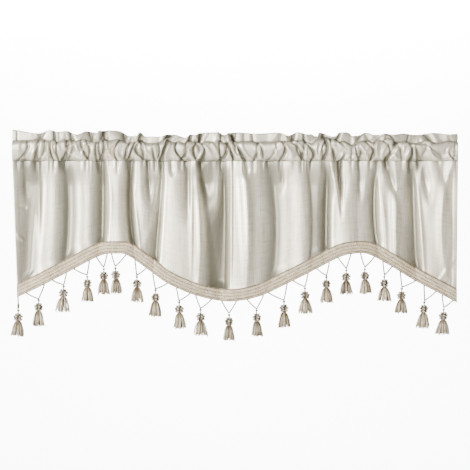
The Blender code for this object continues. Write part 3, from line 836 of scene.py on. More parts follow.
def seam_wander(x):
    """-1 to 1 along the seam, because hand-fed cloth never runs quite straight."""
    return 0.5 * np.sin(x * 133.0 + 1.0) + 0.3 * np.sin(x * 291.0) + 0.2 * np.sin(x * 547.0 + 2.0)


def seam_line(x):
    return SEAM_Z + SEAM_STRAYS * seam_wander(x)


def panel_place(u, v):
    x_top, x_hem = mix(LEFT_TOP, RIGHT_TOP, u), mix(LEFT_TIP, RIGHT_TIP, u)
    z_hem = hem_z(x_hem)
    v = v**1.12
    z = mix(seam_line(x_top), z_hem, v)
    x = mix(x_top, x_hem, v)
    puckers = pocket_creases(x, 0.0) * (1.0 - ease((SEAM_Z - z) / PUCKERS_FADE))
    x_left, x_right = mix(LEFT_TOP, LEFT_TIP, v), mix(RIGHT_TOP, RIGHT_TIP, v)
    proud = 0.7 * MM * side_hems(x, x_left, x_right) + storage_creases(x, z)
    y = cloth_y(x, z) + 0.8 * puckers - proud
    # Painted shade in the folds' troughs and in the puckers under the seam.
    painted_shade_and_tone = fold_shade(x, z) + 0.5 * np.clip(puckers / (4 * MM), 0, 1)
    return np.stack((x, y, z), axis=1), painted_shade_and_tone


PANEL = hung_sheet("satin_panel", 470, 96, panel_place, PANEL_FLAT, 0.9 * MM)
PANEL.data.materials.append(SATIN)
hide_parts("panel")
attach(PANEL, "root")
print("panel faces:", len(PANEL.data.polygons))

# %% [markdown]
# ## The pocket and its ruffle
# One strip of cloth goes up the front of the pocket, over the top of the ruffle and down
# the back to the seam. It is stitched through where the ruffle starts, so the ruffle
# stands on a narrow neck. The section of the pocket is a drop, fullest round the rod. The
# two side ends stay open, because the rod goes in there.

# %% Hang the heading
HEADING_FLAT = (1.270, 0.135)
SEAM_HALF, FULL_HALF, NECK_HALF = 1.4 * MM, 15.4 * MM, 1.4 * MM
POCKET_SHARE = 0.36
RUFFLE_SHARE = 0.14
SEAM_PRESSED = 0.9 * MM


def bulge(height):
    """Half the pocket's depth from seam to stitches."""
    full_at = 0.66
    rising = np.sin(0.5 * np.pi * np.clip(height / full_at, 0, 1)) ** 0.85
    rest = np.clip((height - full_at) / (1.0 - full_at), 0, 1)
    falling = np.sqrt(1.0 - rest**5)
    below = mix(SEAM_HALF, FULL_HALF, rising)
    return np.where(height < full_at, below, mix(NECK_HALF, FULL_HALF, falling))


def neck_y(x):
    return 0.30 * (cloth_y(x, SEAM_Z) - CREST_Y) - 1.0 * MM


def ruffle_y(x, share):
    lean = np.zeros(np.broadcast(x, share).shape)
    for foot, top, forward, half in RUFFLE_FOLDS:
        lean += forward * bell((x - mix(foot, top, share)) / half)
    return neck_y(x) - lean * mix(0.25, 1.0, share)


def heading_place(u, v):
    """v from 0 to 1 goes from the back seam over the ruffle to the front seam."""
    x = mix(LEFT_TOP, RIGHT_TOP, u)
    v = v**0.75
    front = v > 0.5
    way = np.where(front, 1.0 - v, v)
    on_pocket = way < POCKET_SHARE
    height = np.clip(way / POCKET_SHARE, 0, 1)
    share = np.clip((way - POCKET_SHARE) / RUFFLE_SHARE, 0, 1)
    middle = mix(cloth_y(x, SEAM_Z), 0.0, ease(height / 0.45))
    middle = mix(middle, neck_y(x), ease((height - 0.85) / 0.15))
    creases = pocket_creases(x, height)
    sewn = 1.0 - ease(height / 0.35)
    middle = middle + 0.8 * creases * sewn
    pressed = creases * (1.0 - sewn)
    reach = bulge(height) * np.where(front, 0.85, 1.0) - np.where(front, pressed, 0.4 * pressed)
    pressed_flat = 0.5 - 0.5 * seam_wander(1.7 * x)
    reach = reach - SEAM_PRESSED * pressed_flat * (1.0 - ease(height / 0.12))
    outward = np.where(front, -1.0, 1.0)
    pocket_y = middle + outward * np.maximum(reach, 0.4 * MM)
    stitch = along(STITCH_LINE, x)
    pocket_z = mix(seam_line(x), stitch, height)
    wave = pleats(x, share) * ease(share / 0.2 + 0.4)
    sheet_y = ruffle_y(x, share) + wave + outward * mix(1.4, 0.7, share) * MM
    sheet_z = stitch + share * (along(RUFFLE_TOP, x) + STITCH_Z - stitch)
    y = np.where(on_pocket, pocket_y, sheet_y)
    z = np.where(on_pocket, pocket_z, sheet_z)
    # The pocket is tinted darker overall and more so towards the seam. Painted shade darkens its
    # creases, the line under the stitches and the panel's troughs below, and a painted highlight
    # lightens the raised lips.
    in_crease = np.clip(creases / (5.0 * MM), 0, 1)
    on_lip = np.clip(-creases / (2.5 * MM), 0, 1)
    at_stitch = np.exp(-(((height - 1.0) / 0.05) ** 2))
    below = fold_shade(x, SEAM_Z) * (1.0 - ease(height / 0.3))
    dark = mix(0.26, 0.12, height) + 1.15 * in_crease + 0.30 * at_stitch + 0.6 * below
    dark = dark - 0.26 * on_lip
    # The ruffle is tinted darker overall, with painted shade in its pleats' troughs and near its
    # neck, and a painted highlight on its ridges.
    ruffle_dark = 0.26 + 1.0 * np.clip(wave / (5.0 * MM), 0, 1) + 0.3 * (1 - ease(share / 0.3))
    ruffle_dark = ruffle_dark - 0.26 * np.clip(-wave / (3.0 * MM), 0, 1)
    painted_shade_and_tone = np.where(on_pocket, dark, ruffle_dark)
    return np.stack((x, y, z), axis=1), painted_shade_and_tone


HEADING = hung_sheet("satin_heading", 800, 60, heading_place, HEADING_FLAT, 0.7 * MM)
HEADING.data.materials.append(SATIN)
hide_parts("heading")
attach(HEADING, "root")
print("heading faces:", len(HEADING.data.polygons))

# %% [markdown]
# ## The braid
# A gimp braid 28 mm wide covers the raw hem. It is woven with three soft ribs and ends in
# a thick cord at its lower edge. It is another sheet, whose thickness changes over its
# width, laid 0.5 mm in front of the panel. A braid is stiffer than satin, so it spans the
# folds that are too narrow for it to enter.

# %% Lay the braid
BRAID_WIDTH = 28.0 * MM
BRAID_FLAT = (1.130, BRAID_WIDTH)
BRAID_SECTION = (
    # share of the width up from the lower edge, thickness in mm
    (0.000, 1.2),
    (0.070, 2.4),
    (0.105, 3.3),
    (0.140, 2.8),
    (0.170, 1.3),
    (0.190, 1.3),
    (0.230, 1.9),
    (0.300, 2.3),
    (0.370, 2.1),
    (0.405, 1.4),
    (0.440, 1.4),
    (0.475, 2.1),
    (0.550, 2.4),
    (0.625, 2.1),
    (0.660, 1.4),
    (0.695, 1.4),
    (0.730, 2.1),
    (0.810, 2.4),
    (0.885, 2.0),
    (0.915, 1.3),
    (0.945, 1.3),
    (0.975, 1.8),
    (1.000, 1.0),
)


BRAID_BENDS, BRAID_REACH = 22 * MM, 10 * MM
# The painted shadow under the cord at the lower edge, as shares of the braid's width:
UNDER_CORD_SHADOW, UNDER_CORD_SHADOW_FADES = 0.06, 0.04


def braid_lies(x, z):
    """The cloth's front as a stiff braid meets it: it spans what is too narrow to enter."""
    nearest = cloth_y(x, z)
    for step in np.linspace(-BRAID_REACH, BRAID_REACH, 15):
        nearest = np.minimum(nearest, cloth_y(x + step, z) + step**2 / (2.0 * BRAID_BENDS))
    return nearest


def braid_place(u, v):
    x_hem = mix(LEFT_TIP, RIGHT_TIP, u)
    z_hem = hem_z(x_hem)
    tall = BRAID_WIDTH * np.hypot(1.0, hem_slope(x_hem))
    share = 1.0 - v
    z = z_hem + share * tall
    x = mix(mix(LEFT_TOP, RIGHT_TOP, u), x_hem, (SEAM_Z - z) / (SEAM_Z - z_hem))
    thick = np.interp(share, *np.array(BRAID_SECTION).T) * MM
    y = braid_lies(x, z) - 0.5 * MM - thick
    # Painted shade darkens the thin grooves between the ribs, and a painted shadow runs along the
    # lower edge under the cord.
    groove = 1.0 - ease((thick - 1.2 * MM) / (0.9 * MM))
    between_ribs = (share > 0.20) & (share < 0.90)
    shade = np.where(between_ribs, 0.75, 1.0) * groove
    shade = np.maximum(shade, 1.0 - ease((share - UNDER_CORD_SHADOW) / UNDER_CORD_SHADOW_FADES))
    return np.stack((x, y, z), axis=1), shade


BRAID = hung_sheet("gimp_braid", 760, 42, braid_place, BRAID_FLAT, 1.0 * MM)
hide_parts("braid")
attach(BRAID, "root")
print("braid faces:", len(BRAID.data.polygons))

# %% [markdown]
# The braid is viscose gimp: matt twisted threads that slant one way on one rib and the other
# way on the next, like a herringbone. Real threads are 0.6 mm apart, too fine to show, so
# they are drawn 5 mm apart and uneven, with fibres that run along the braid. The lines
# between the ribs are painted shade, broken up a little as hand work is, and a painted shadow
# runs under the cord at the lower edge.

# %% Braid material
def braid_material():
    made, tree, shader = new_material("viscose gimp braid", Roughness=0.70, IOR=1.46)
    place = add_node(tree, "ShaderNodeUVMap", uv_map="UVMap").outputs["UV"]
    parts = add_node(tree, "ShaderNodeSeparateXYZ", {0: place})
    rib = 2.0 * math.pi / (0.25 * BRAID_WIDTH * 2)
    across = add_node(
        tree, "ShaderNodeMath", {0: parts.outputs["Y"], 1: rib}, operation="MULTIPLY"
    )
    swing = add_node(tree, "ShaderNodeMath", {0: across.outputs[0]}, operation="SINE")
    slant = add_node(
        tree, "ShaderNodeMath", {0: swing.outputs[0], 1: 3.0}, operation="MULTIPLY"
    )
    uneven = add_node(
        tree,
        "ShaderNodeTexNoise",
        {"Vector": place, "Scale": 120.0, "Detail": 2.0, "Roughness": 0.6},
    )
    pushed = add_node(
        tree,
        "ShaderNodeMath",
        {0: uneven.outputs[0], 1: 16.0, 2: slant.outputs[0]},
        operation="MULTIPLY_ADD",
    )
    thread = add_node(
        tree,
        "ShaderNodeMath",
        {0: parts.outputs["X"], 1: 2.0 * math.pi / (5.0 * MM), 2: pushed.outputs[0]},
        operation="MULTIPLY_ADD",
    )
    wave = add_node(tree, "ShaderNodeMath", {0: thread.outputs[0]}, operation="SINE")
    lengthwise = add_node(
        tree, "ShaderNodeMapping", {"Vector": place, "Scale": (85.0, 300.0, 1.0)}
    )
    fine = add_node(
        tree,
        "ShaderNodeTexNoise",
        {"Vector": lengthwise.outputs[0], "Scale": 1.0, "Detail": 3.0, "Roughness": 0.6},
    )
    worn = add_node(
        tree, "ShaderNodeTexNoise", {"Vector": place, "Scale": 40.0, "Detail": 2.0}
    )
    share = add_node(
        tree,
        "ShaderNodeMapRange",
        {"Value": wave.outputs[0], "From Min": -1.0, "From Max": 1.0},
    )
    soft = add_node(
        tree,
        "ShaderNodeMapRange",
        {"Value": fine.outputs[0], "From Min": 0.36, "From Max": 0.62, "To Max": 1.0},
    )
    woven = blend_colours(tree, share.outputs[0], "#7b684b", "#e6d5b6")
    speckled = blend_colours(tree, soft.outputs[0], woven, "#dccbae")
    patchy = add_node(
        tree,
        "ShaderNodeMapRange",
        {"Value": worn.outputs[0], "From Min": 0.35, "From Max": 0.62, "To Max": 0.45},
    )
    toned = blend_colours(tree, patchy.outputs[0], speckled, "#a08a68")
    # Painted shade in the grooves and painted shadow under the cord, broken up by noise.
    painted_shade_and_tone = add_node(tree, "ShaderNodeAttribute", attribute_name="painted_shade_and_tone")
    broken = add_node(
        tree,
        "ShaderNodeMapRange",
        {
            "Value": uneven.outputs[0],
            "From Min": 0.38,
            "From Max": 0.62,
            "To Min": 0.7,
            "To Max": 1.3,
        },
    )
    painted_braid_shade = add_node(
        tree,
        "ShaderNodeMath",
        {0: painted_shade_and_tone.outputs["Fac"], 1: broken.outputs[0]},
        operation="MULTIPLY",
        use_clamp=True,
    )
    base = blend_colours(tree, painted_braid_shade.outputs[0], toned, "#65573f")
    tree.links.new(base, shader.inputs["Base Color"])
    height = add_node(
        tree, "ShaderNodeMath", {0: wave.outputs[0], 1: fine.outputs[0]}, operation="ADD"
    )
    bump = add_node(
        tree,
        "ShaderNodeBump",
        {"Height": height.outputs[0], "Strength": 0.5, "Distance": 0.5 * MM},
    )
    tree.links.new(bump.outputs[0], shader.inputs["Normal"])
    return made


GIMP = braid_material()
BRAID.data.materials.append(GIMP)
print("made", GIMP.name)

# %% [markdown]
# ## Yarn, cord and beads
# The skirts are viscose yarn: soft, slightly shiny threads in a darker beige than the
# cloth. The loops are thin twisted cord. The beads are pressed glass with a silver lining,
# which is their pale base colour. Glass has an IOR of 1.5. Each bead gets painted shade where
# it meets its neighbours and stays pale on its open face. Bright light from behind would
# bleach beads and cord this small, so both reflect less than usual.

# %% Yarn, cord and bead materials
def yarn_material():
    made, tree, shader = new_material("viscose tassel yarn", Roughness=0.55, IOR=1.46)
    place = add_node(tree, "ShaderNodeTexCoord").outputs["Object"]
    upright = add_node(
        tree, "ShaderNodeMapping", {"Vector": place, "Scale": (420.0, 420.0, 60.0)}
    )
    fibres = add_node(
        tree,
        "ShaderNodeTexNoise",
        {"Vector": upright.outputs[0], "Scale": 1.0, "Detail": 2.0},
    )
    tone = add_node(
        tree,
        "ShaderNodeMapRange",
        {"Value": fibres.outputs[0], "From Min": 0.32, "From Max": 0.68},
    )
    lit = blend_colours(tree, tone.outputs[0], "#a8946f", "#f6ead0")
    # This value carries each strand's own tone together with painted shade.
    painted_shade_and_tone = add_node(tree, "ShaderNodeAttribute", attribute_name="painted_shade_and_tone")
    base = blend_colours(tree, painted_shade_and_tone.outputs["Fac"], lit, "#5c4a30")
    tree.links.new(base, shader.inputs["Base Color"])
    bump = add_node(
        tree,
        "ShaderNodeBump",
        {"Height": fibres.outputs[0], "Strength": 0.5, "Distance": 0.4 * MM},
    )
    tree.links.new(bump.outputs[0], shader.inputs["Normal"])
    return made


def cord_material():
    made, tree, shader = new_material("twisted viscose cord", Roughness=0.60, IOR=1.46)
    shader.inputs["Specular IOR Level"].default_value = 0.15
    place = add_node(tree, "ShaderNodeTexCoord").outputs["Object"]
    twist = add_node(
        tree,
        "ShaderNodeTexWave",
        {"Vector": place, "Scale": 0.3 / MM, "Distortion": 1.0},
        bands_direction="DIAGONAL",
    )
    base = blend_colours(tree, twist.outputs["Fac"], "#3a342a", "#736a5b")
    tree.links.new(base, shader.inputs["Base Color"])
    bump = add_node(
        tree,
        "ShaderNodeBump",
        {"Height": twist.outputs["Fac"], "Strength": 0.4, "Distance": 0.2 * MM},
    )
    tree.links.new(bump.outputs[0], shader.inputs["Normal"])
    return made


def bead_material():
    made, tree, shader = new_material("silver lined glass bead", Roughness=0.30, IOR=1.5)
    shader.inputs["Specular IOR Level"].default_value = 0.25
    place = add_node(tree, "ShaderNodeTexCoord").outputs["Object"]
    lining = add_node(
        tree,
        "ShaderNodeTexNoise",
        {"Vector": place, "Scale": 340.0, "Detail": 1.0},
    )
    tone = add_node(
        tree,
        "ShaderNodeMapRange",
        {"Value": lining.outputs[0], "From Min": 0.35, "From Max": 0.65},
    )
    lined = blend_colours(tree, tone.outputs[0], "#75694f", "#e6dfce")
    # Painted shade darkens each bead where it meets its neighbours.
    rim_shade = add_node(tree, "ShaderNodeAttribute", attribute_name="painted_shade_and_tone")
    base = blend_colours(tree, rim_shade.outputs["Fac"], lined, "#5a4f3d")
    tree.links.new(base, shader.inputs["Base Color"])
    return made


YARN, CORD, GLASS = yarn_material(), cord_material(), bead_material()
print("made", YARN.name, CORD.name, GLASS.name)

# %% [markdown]
# ## One strand and one bead
# A tassel's skirt is a hank of thick yarn tied under its head. One strand is a narrow
# cylinder that is extruded downwards and fattened in edit mode. One bead is a sphere of a
# few facets, with its two ends flattened, because pressed glass beads are barrels. Both are
# copied many times.

# %% Model a strand and a bead
STRAND_STEPS = (
    # length in mm, width factor
    (6.0, 1.25),
    (8.0, 1.20),
    (9.0, 1.05),
    (9.0, 0.95),
    (6.0, 0.70),
)


def model_strand():
    bpy.ops.object.select_all(action="DESELECT")
    bpy.ops.mesh.primitive_circle_add(vertices=5, radius=0.75 * MM, fill_type="NGON")
    strand = bpy.context.object
    strand.name = "strand"
    bpy.ops.object.mode_set(mode="EDIT")
    bpy.ops.mesh.select_all(action="SELECT")
    for length, width in STRAND_STEPS:
        bpy.ops.mesh.extrude_region_move(
            TRANSFORM_OT_translate={"value": (0.0, 0.0, -length * MM)}
        )
        bpy.ops.transform.resize(value=(width, width, 1.0))
    bpy.ops.mesh.select_all(action="SELECT")
    bpy.ops.mesh.normals_make_consistent(inside=False)
    bpy.ops.object.mode_set(mode="OBJECT")
    return strand


def model_bead():
    bpy.ops.object.select_all(action="DESELECT")
    bpy.ops.mesh.primitive_uv_sphere_add(segments=8, ring_count=6, radius=3.2 * MM)
    bead = bpy.context.object
    bead.name = "bead"
    bpy.ops.object.mode_set(mode="EDIT")
    bpy.ops.mesh.select_all(action="SELECT")
    bpy.ops.transform.resize(value=(1.0, 1.0, 0.88))
    bpy.ops.object.mode_set(mode="OBJECT")
    return bead


STRAND, BEAD = model_strand(), model_bead()
print("strand faces:", len(STRAND.data.polygons), "bead faces:", len(BEAD.data.polygons))

# %% [markdown]
# ## The tassels
# Each tassel hangs from its knot: a neck bead, a head wound with three rings of beads and a
# skirt. The strands start close together under the head and spread on the way down, and
# each ends at its own height. Places and lean come from the table of the loops. The
# first one hangs by a straight cord, which carries a long bead above the knot.

# %% Where the tassels hang
TASSELS = (
    # x of left root, x of right root, x of knot, z of knot, turn, length share, form, lean in mm
    (-0.4885, -0.4885, -0.4885, -0.3710, 10, 0.930, 1, -1.0),
    (-0.4700, -0.4290, -0.4425, -0.3485, 47, 0.920, 0, -0.3),
    (-0.4110, -0.3800, -0.3860, -0.3170, 5, 0.910, 2, -3.4),
    (-0.3630, -0.3280, -0.3335, -0.2950, 31, 0.865, 0, 1.7),
    (-0.3120, -0.2880, -0.2960, -0.2780, 20, 0.890, 0, 0.0),
    (-0.2785, -0.2460, -0.2700, -0.2760, 62, 0.900, 0, 3.4),
    (-0.2260, -0.2010, -0.2220, -0.2960, 15, 0.880, 1, 1.7),
    (-0.1860, -0.1530, -0.1800, -0.3265, 38, 0.940, 1, 0.0),
    (-0.1325, -0.1025, -0.1265, -0.3530, 8, 0.940, 1, 1.7),
    (-0.0895, -0.0545, -0.0785, -0.3705, 53, 0.930, 2, 0.7),
    (-0.0310, 0.0020, -0.0145, -0.3810, 27, 0.920, 0, 0.0),
    (0.0265, 0.0630, 0.0475, -0.3715, 41, 0.900, 0, 1.4),
    (0.0740, 0.1160, 0.1090, -0.3515, 12, 0.930, 1, 0.7),
    (0.1300, 0.1630, 0.1560, -0.3215, 58, 0.895, 2, 1.7),
    (0.1830, 0.2110, 0.2045, -0.2965, 33, 0.910, 1, 0.0),
    (0.2310, 0.2590, 0.2490, -0.2805, 3, 0.830, 1, -0.7),
    (0.2805, 0.3120, 0.2905, -0.2780, 44, 0.870, 1, 1.7),
    (0.3310, 0.3510, 0.3345, -0.2950, 22, 0.865, 2, 1.0),
    (0.3700, 0.4040, 0.3740, -0.3225, 51, 0.870, 1, -1.7),
    (0.4235, 0.4500, 0.4245, -0.3525, 17, 0.920, 1, -4.1),
    (0.4640, 0.4880, 0.4675, -0.3680, 36, 0.900, 2, -2.8),
)
HEAD_RINGS = (
    # height below the knot, ring radius, beads, bead size share (lengths in mm)
    (-3.4, 0.0, 1, 1.05),
    (-12.2, 4.6, 5, 1.00),
    (-17.4, 7.3, 6, 1.15),
    (-23.2, 6.2, 6, 1.08),
)
LONG_BEAD = (6.5, 0.95, 2.5)
SKIRT_TOP = -27.5 * MM
SKIRT_SPREADS = (1.02, 1.12, 1.28)
SKIRT_ROWS = (
    # strands, radius at the top, spread at the bottom (in mm)
    (11, 4.8, 12.0),
    (8, 3.2, 8.2),
    (4, 1.4, 4.0),
)
UNDER_STRAND = sum(length for length, _ in STRAND_STEPS) * MM


def placed_copy(source, points, dark, collect):
    """A copy of a small mesh with its points given, for joining later."""
    made = bpy.data.objects.new(source.name + "_copy", source.data.copy())
    made.data.vertices.foreach_set("co", points.astype(np.float32).ravel())
    shade = made.data.attributes.new("painted_shade_and_tone", "FLOAT", "POINT")
    shade.data.foreach_set("value", dark.astype(np.float32))
    bpy.context.scene.collection.objects.link(made)
    collect.append(made)
    return made


def mesh_points(piece):
    points = np.empty(len(piece.data.vertices) * 3)
    piece.data.vertices.foreach_get("co", points)
    return points.reshape(-1, 3)


def bead_rim_shade(bead, angle, radius):
    """1 where a bead meets its neighbours and 0 on its open face, for the painted shade at its
    rim.
    """
    way = bead / np.linalg.norm(bead, axis=1, keepdims=True)
    if radius:
        facing = way @ np.array((math.cos(angle), math.sin(angle), 0.0))
    else:
        facing = 0.68 - np.abs(way[:, 2])
    return 1.0 - ease((facing - 0.58) / 0.34)


def head_core(collect):
    """The bulb under the beads: a turned profile, made with Screw."""
    profile = ((0.0, -1.0), (2.0, -2.5), (1.3, -9.0), (5.0, -12.5), (6.2, -18.5), (4.4, -25.5))
    profile += ((5.2, -28.0), (5.0, -30.5), (0.0, -31.5))
    bpy.ops.object.select_all(action="DESELECT")
    bpy.ops.mesh.primitive_plane_add(size=1.0)
    core = bpy.context.object
    core.name = "core"
    bpy.ops.object.mode_set(mode="EDIT")
    bpy.ops.mesh.select_all(action="SELECT")
    bpy.ops.mesh.delete(type="VERT")
    bpy.ops.object.mode_set(mode="OBJECT")
    core.data.vertices.add(len(profile))
    for vertex, (radius, z) in zip(core.data.vertices, profile):
        vertex.co = (radius * MM, 0.0, z * MM)
    core.data.edges.add(len(profile) - 1)
    for k, edge in enumerate(core.data.edges):
        edge.vertices = (k, k + 1)
    turned = core.modifiers.new("turned", "SCREW")
    turned.steps = turned.render_steps = 14
    turned.use_merge_vertices = True
    turned.merge_threshold = 0.00001
    apply_modifiers(core)
    bpy.ops.object.mode_set(mode="EDIT")
    bpy.ops.mesh.select_all(action="SELECT")
    bpy.ops.mesh.normals_make_consistent(inside=False)
    bpy.ops.object.mode_set(mode="OBJECT")
    # The core gets nearly full painted shade, so the gaps between the beads look dark.
    shade = core.data.attributes.new("painted_shade_and_tone", "FLOAT", "POINT")
    shade.data.foreach_set("value", np.full(len(core.data.vertices), 0.95, np.float32))
    core.data.materials.append(YARN)
    collect.append(core)


def hang_tassel(number, row, chance):
    left, right, knot_x, _, turn, share, form, lean = row
    widen = SKIRT_SPREADS[form]
    collect = []
    head_core(collect)
    bead = mesh_points(BEAD)
    for height, radius, count, size in HEAD_RINGS:
        for k in range(count):
            angle = 2 * math.pi * (k + 0.5 * (count % 2)) / count + chance.uniform(-0.1, 0.1)
            centre = np.array(
                (radius * math.cos(angle), radius * math.sin(angle), height)
            ) * MM
            lift = chance.uniform(-0.5, 0.5) * MM
            points = bead * size * chance.uniform(0.93, 1.05) + centre + (0, 0, lift)
            copy = placed_copy(BEAD, points, bead_rim_shade(bead, angle, radius), collect)
            copy.data.materials.append(GLASS)
    if left == right:
        height, width, tall = LONG_BEAD
        points = bead * (width, width, tall) + (0.0, 0.0, height * MM)
        copy = placed_copy(BEAD, points, bead_rim_shade(bead, 0.0, 0.0), collect)
        copy.data.materials.append(GLASS)
    strand = mesh_points(STRAND)
    for count, top, bottom in SKIRT_ROWS:
        for k in range(count):
            angle = 2 * math.pi * k / count + chance.uniform(-0.16, 0.16)
            reach = widen * chance.uniform(0.90, 1.08)
            length = share * chance.uniform(0.86, 1.0)
            down = -strand[:, 2] / UNDER_STRAND
            spread = mix(top, bottom * reach, down**0.62) * MM
            spread += 0.9 * MM * np.sin(math.pi * down) * chance.uniform(-0.6, 1.0)
            fat = chance.uniform(1.35, 1.90)
            curl = 0.7 * MM * np.sin(chance.uniform(0.0, 6.0) + 9.0 * down) * ease(down)
            x = strand[:, 0] * fat + spread * math.cos(angle) + curl
            y = strand[:, 1] * fat + spread * math.sin(angle)
            z = SKIRT_TOP + strand[:, 2] * length
            # Each strand gets its own random tone. The innermost row gets painted shade, painted
            # shade darkens each strand under the head, and each strand is darker towards its lower
            # end.
            tone = chance.uniform(0.0, 0.8) + (0.3 if bottom < 8 else 0.0)
            dark = tone + 0.55 * (1.0 - ease(down / 0.35)) + 0.25 * ease((down - 0.6) / 0.4)
            dark = np.clip(dark, 0, 1)
            points = np.stack((x, y, z), axis=1)
            copy = placed_copy(STRAND, points, dark, collect)
            copy.data.materials.append(YARN)
    bpy.ops.object.select_all(action="DESELECT")
    for piece in collect:
        piece.select_set(True)
    bpy.context.view_layer.objects.active = collect[0]
    bpy.ops.object.join()
    tassel = bpy.context.object
    tassel.name = tassel.data.name = f"beaded_tassel_{number:02d}"
    low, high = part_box(f"tassel_{number:02d}")
    angle = math.radians(turn)
    points = mesh_points(tassel)
    leaned = lean * MM * points[:, 2] / (SKIRT_TOP - UNDER_STRAND)
    x = points[:, 0] * math.cos(angle) - points[:, 1] * math.sin(angle) + leaned
    y = points[:, 0] * math.sin(angle) + points[:, 1] * math.cos(angle)
    middle_y = 0.5 * (low.y + high.y)
    placed = np.stack((x + knot_x, y + middle_y, points[:, 2] + high.z), axis=1)
    tassel.data.vertices.foreach_set("co", placed.astype(np.float32).ravel())
    tassel.data.update()
    pick_only(tassel)
    bpy.ops.object.shade_smooth_by_angle(angle=math.radians(50))
    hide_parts(f"tassel_{number:02d}")
    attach(tassel, "root")
    return tassel


CHANCE = random.Random(21)
FRINGE = [hang_tassel(number, row, CHANCE) for number, row in enumerate(TASSELS, start=1)]
for model in (STRAND, BEAD):
    bpy.data.objects.remove(model, do_unlink=True)
print("tassels:", len(FRINGE), "faces in one:", len(FRINGE[0].data.polygons))

# %% [markdown]
# ## The loops of cord
# A cord leaves the braid's lower edge, runs down to the knot and goes back up to its second
# root. It is two strands twisted together, so each strand is a curve that winds round the
# cord's path. The cord is 3.9 mm thick and turns once in 8 mm.

# %% Twist the cords
STRAND_RADIUS, STRAND_OFFSET, TWIST_PITCH = 1.1 * MM, 0.85 * MM, 8 * MM


def cord_path(row):
    """Evenly spaced points from one root over the knot to the other."""
    left, right, knot_x, knot_z = row[:4]
    ends = [(left, hem_z(left)), (knot_x, knot_z + 0.5 * MM)]
    if left != right:
        ends.append((right, hem_z(right)))
    root_y = [float(braid_lies(x, hem_z(x))) - 1.2 * MM for x in (left, right)]
    depths = [root_y[0], 0.5 * (root_y[0] + root_y[1]), root_y[1]]
    points = []
    for k, ((x0, z0), (x1, z1)) in enumerate(zip(ends, ends[1:])):
        length = math.hypot(x1 - x0, z1 - z0)
        for t in np.arange(0.0, 1.0, 0.7 * MM / length):
            sag = -1.2 * MM * 4.0 * t * (1.0 - t) * (1.0 if left != right else 0.0)
            points.append((mix(x0, x1, t), mix(depths[k], depths[k + 1], t), mix(z0, z1, t) + sag))
    points.append((ends[-1][0], depths[len(ends) - 1], ends[-1][1]))
    return np.array(points)


def twist_cord(number, row):
    path = cord_path(row)
    steps = np.linalg.norm(np.diff(path, axis=0), axis=1)
    turned = 2.0 * math.pi * np.concatenate(((0.0,), np.cumsum(steps))) / TWIST_PITCH
    along_path = np.gradient(path, axis=0)
    along_path /= np.linalg.norm(along_path, axis=1, keepdims=True)
    across = np.cross(along_path, (0.0, 1.0, 0.0))
    curve = bpy.data.curves.new(f"twisted_cord_{number:02d}", "CURVE")
    curve.dimensions = "3D"
    curve.bevel_depth = STRAND_RADIUS
    curve.bevel_resolution = 1
    curve.use_fill_caps = True
    for start in (0.0, math.pi):
        wound = path + STRAND_OFFSET * (
            np.cos(turned + start)[:, None] * np.array((0.0, 1.0, 0.0))
            + np.sin(turned + start)[:, None] * across
        )
        spline = curve.splines.new("POLY")
        spline.points.add(len(wound) - 1)
        for point, place in zip(spline.points, wound):
            point.co = (*place, 1.0)
    cord = bpy.data.objects.new(curve.name, curve)
    bpy.context.scene.collection.objects.link(cord)
    pick_only(cord)
    bpy.ops.object.convert(target="MESH")
    cord = bpy.context.object
    bpy.ops.object.shade_smooth()
    cord.data.materials.clear()
    cord.data.materials.append(CORD)
    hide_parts(f"loop_{number:02d}")
    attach(cord, "root")
    return cord


CORDS = [twist_cord(number, row) for number, row in enumerate(TASSELS, start=1)]
print("cords:", len(CORDS), "faces in one:", len(CORDS[1].data.polygons))

# %% [markdown]
# ## What the sheets say
# The panel's lower edge is an arch, so its flat area is less than width times length.

print("panel declared with", 1 + len(FRINGE), "pieces")

# %% [markdown]
# ## Room, light and camera
# The valance hangs over a plain pale floor that bends up into a backdrop. The key light
# stands at the left, a wide soft one near the camera and a faint one at the right, so that
# each ridge is bright and each trough has a soft shade. A strong light behind the part
# falls on the backdrop. The backdrop stands 6 m back, behind any camera that looks at the
# part's back. The main camera looks straight at the part through a long lens.

# %% Floor, lights and camera
FLOOR_Z = -1.37
STAGE_WIDTH, STAGE_LENGTH, STAGE_FRONT_Y = 44.0, 20.0, -9.2
FLOOR_LENGTH, BEND_RADIUS = 13.8, 1.4


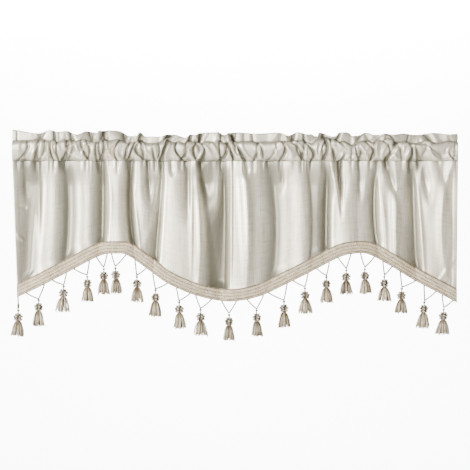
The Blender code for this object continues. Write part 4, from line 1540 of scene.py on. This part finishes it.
def stage_sheet():
    bpy.ops.object.select_all(action="DESELECT")
    bpy.ops.mesh.primitive_grid_add(x_subdivisions=2, y_subdivisions=80, size=1.0)
    sheet = bpy.context.object
    sheet.name = sheet.data.name = "studio_floor"
    points = mesh_points(sheet)
    run = (points[:, 1] + 0.5) * STAGE_LENGTH
    bend = BEND_RADIUS * math.pi / 2
    turn = np.clip((run - FLOOR_LENGTH) / bend, 0, 1) * math.pi / 2
    y = STAGE_FRONT_Y + np.minimum(run, FLOOR_LENGTH) + BEND_RADIUS * np.sin(turn)
    z = BEND_RADIUS * (1 - np.cos(turn)) + np.maximum(0, run - FLOOR_LENGTH - bend)
    placed = np.stack((points[:, 0] * STAGE_WIDTH, y, z + FLOOR_Z), axis=1)
    sheet.data.vertices.foreach_set("co", placed.astype(np.float32).ravel())
    sheet.data.update()
    pick_only(sheet)
    bpy.ops.object.shade_smooth()
    made, tree, shader = new_material("matt backdrop paper", Roughness=0.9)
    place = add_node(tree, "ShaderNodeTexCoord").outputs["Object"]
    grain = add_node(
        tree, "ShaderNodeTexNoise", {"Vector": place, "Scale": 60.0, "Detail": 2.0}
    )
    base = blend_colours(tree, grain.outputs[0], "#f4f4f3", "#f8f8f7")
    tree.links.new(base, shader.inputs["Base Color"])
    sheet.data.materials.append(made)


def soft_light(name, place, size, power, aim=(0.0, 0.0, -0.2)):
    lamp = bpy.data.lights.new(name, "AREA")
    lamp.shape = "RECTANGLE"
    lamp.size, lamp.size_y = size
    lamp.energy = power
    item = bpy.data.objects.new(name, lamp)
    item.location = place
    item.rotation_euler = (Vector(aim) - Vector(place)).to_track_quat("-Z", "Y").to_euler()
    bpy.context.scene.collection.objects.link(item)


stage_sheet()
soft_light("key", (-2.2, -2.0, 0.2), (0.6, 1.2), 158)
soft_light("front", (-0.8, -3.9, 0.1), (1.2, 0.9), 117)
soft_light("fill", (2.3, -2.0, 0.2), (1.0, 1.4), 4)
soft_light("backdrop_light", (0.0, 3.2, 3.7), (6.2, 0.9), 5600, aim=(0.0, 10.1, 2.1))

WORLD = bpy.data.worlds.new("studio")
bpy.context.scene.world = WORLD
WORLD.use_nodes = True
WORLD.node_tree.nodes["Background"].inputs["Color"].default_value = linear("#f6f6f6")
WORLD.node_tree.nodes["Background"].inputs["Strength"].default_value = 0.20

# %% [markdown]
# The camera's frame is 1.0575 m wide at the cloth, seen from 4 m away, and its middle lies
# 205 mm under the top of the rod.

# %% Camera
FRAME_WIDTH, DISTANCE = 1.0575, 4.0
CAMERA = bpy.data.objects.new("camera", bpy.data.cameras.new("camera"))
CAMERA.data.sensor_width = 36.0
CAMERA.data.lens = 36.0 * DISTANCE / FRAME_WIDTH
CAMERA.location = (-0.0011, -DISTANCE, -0.2051)
CAMERA.rotation_euler = (math.radians(90), 0, 0)
bpy.context.scene.collection.objects.link(CAMERA)
bpy.context.scene.camera = CAMERA
print("lens:", round(CAMERA.data.lens, 1), "mm")
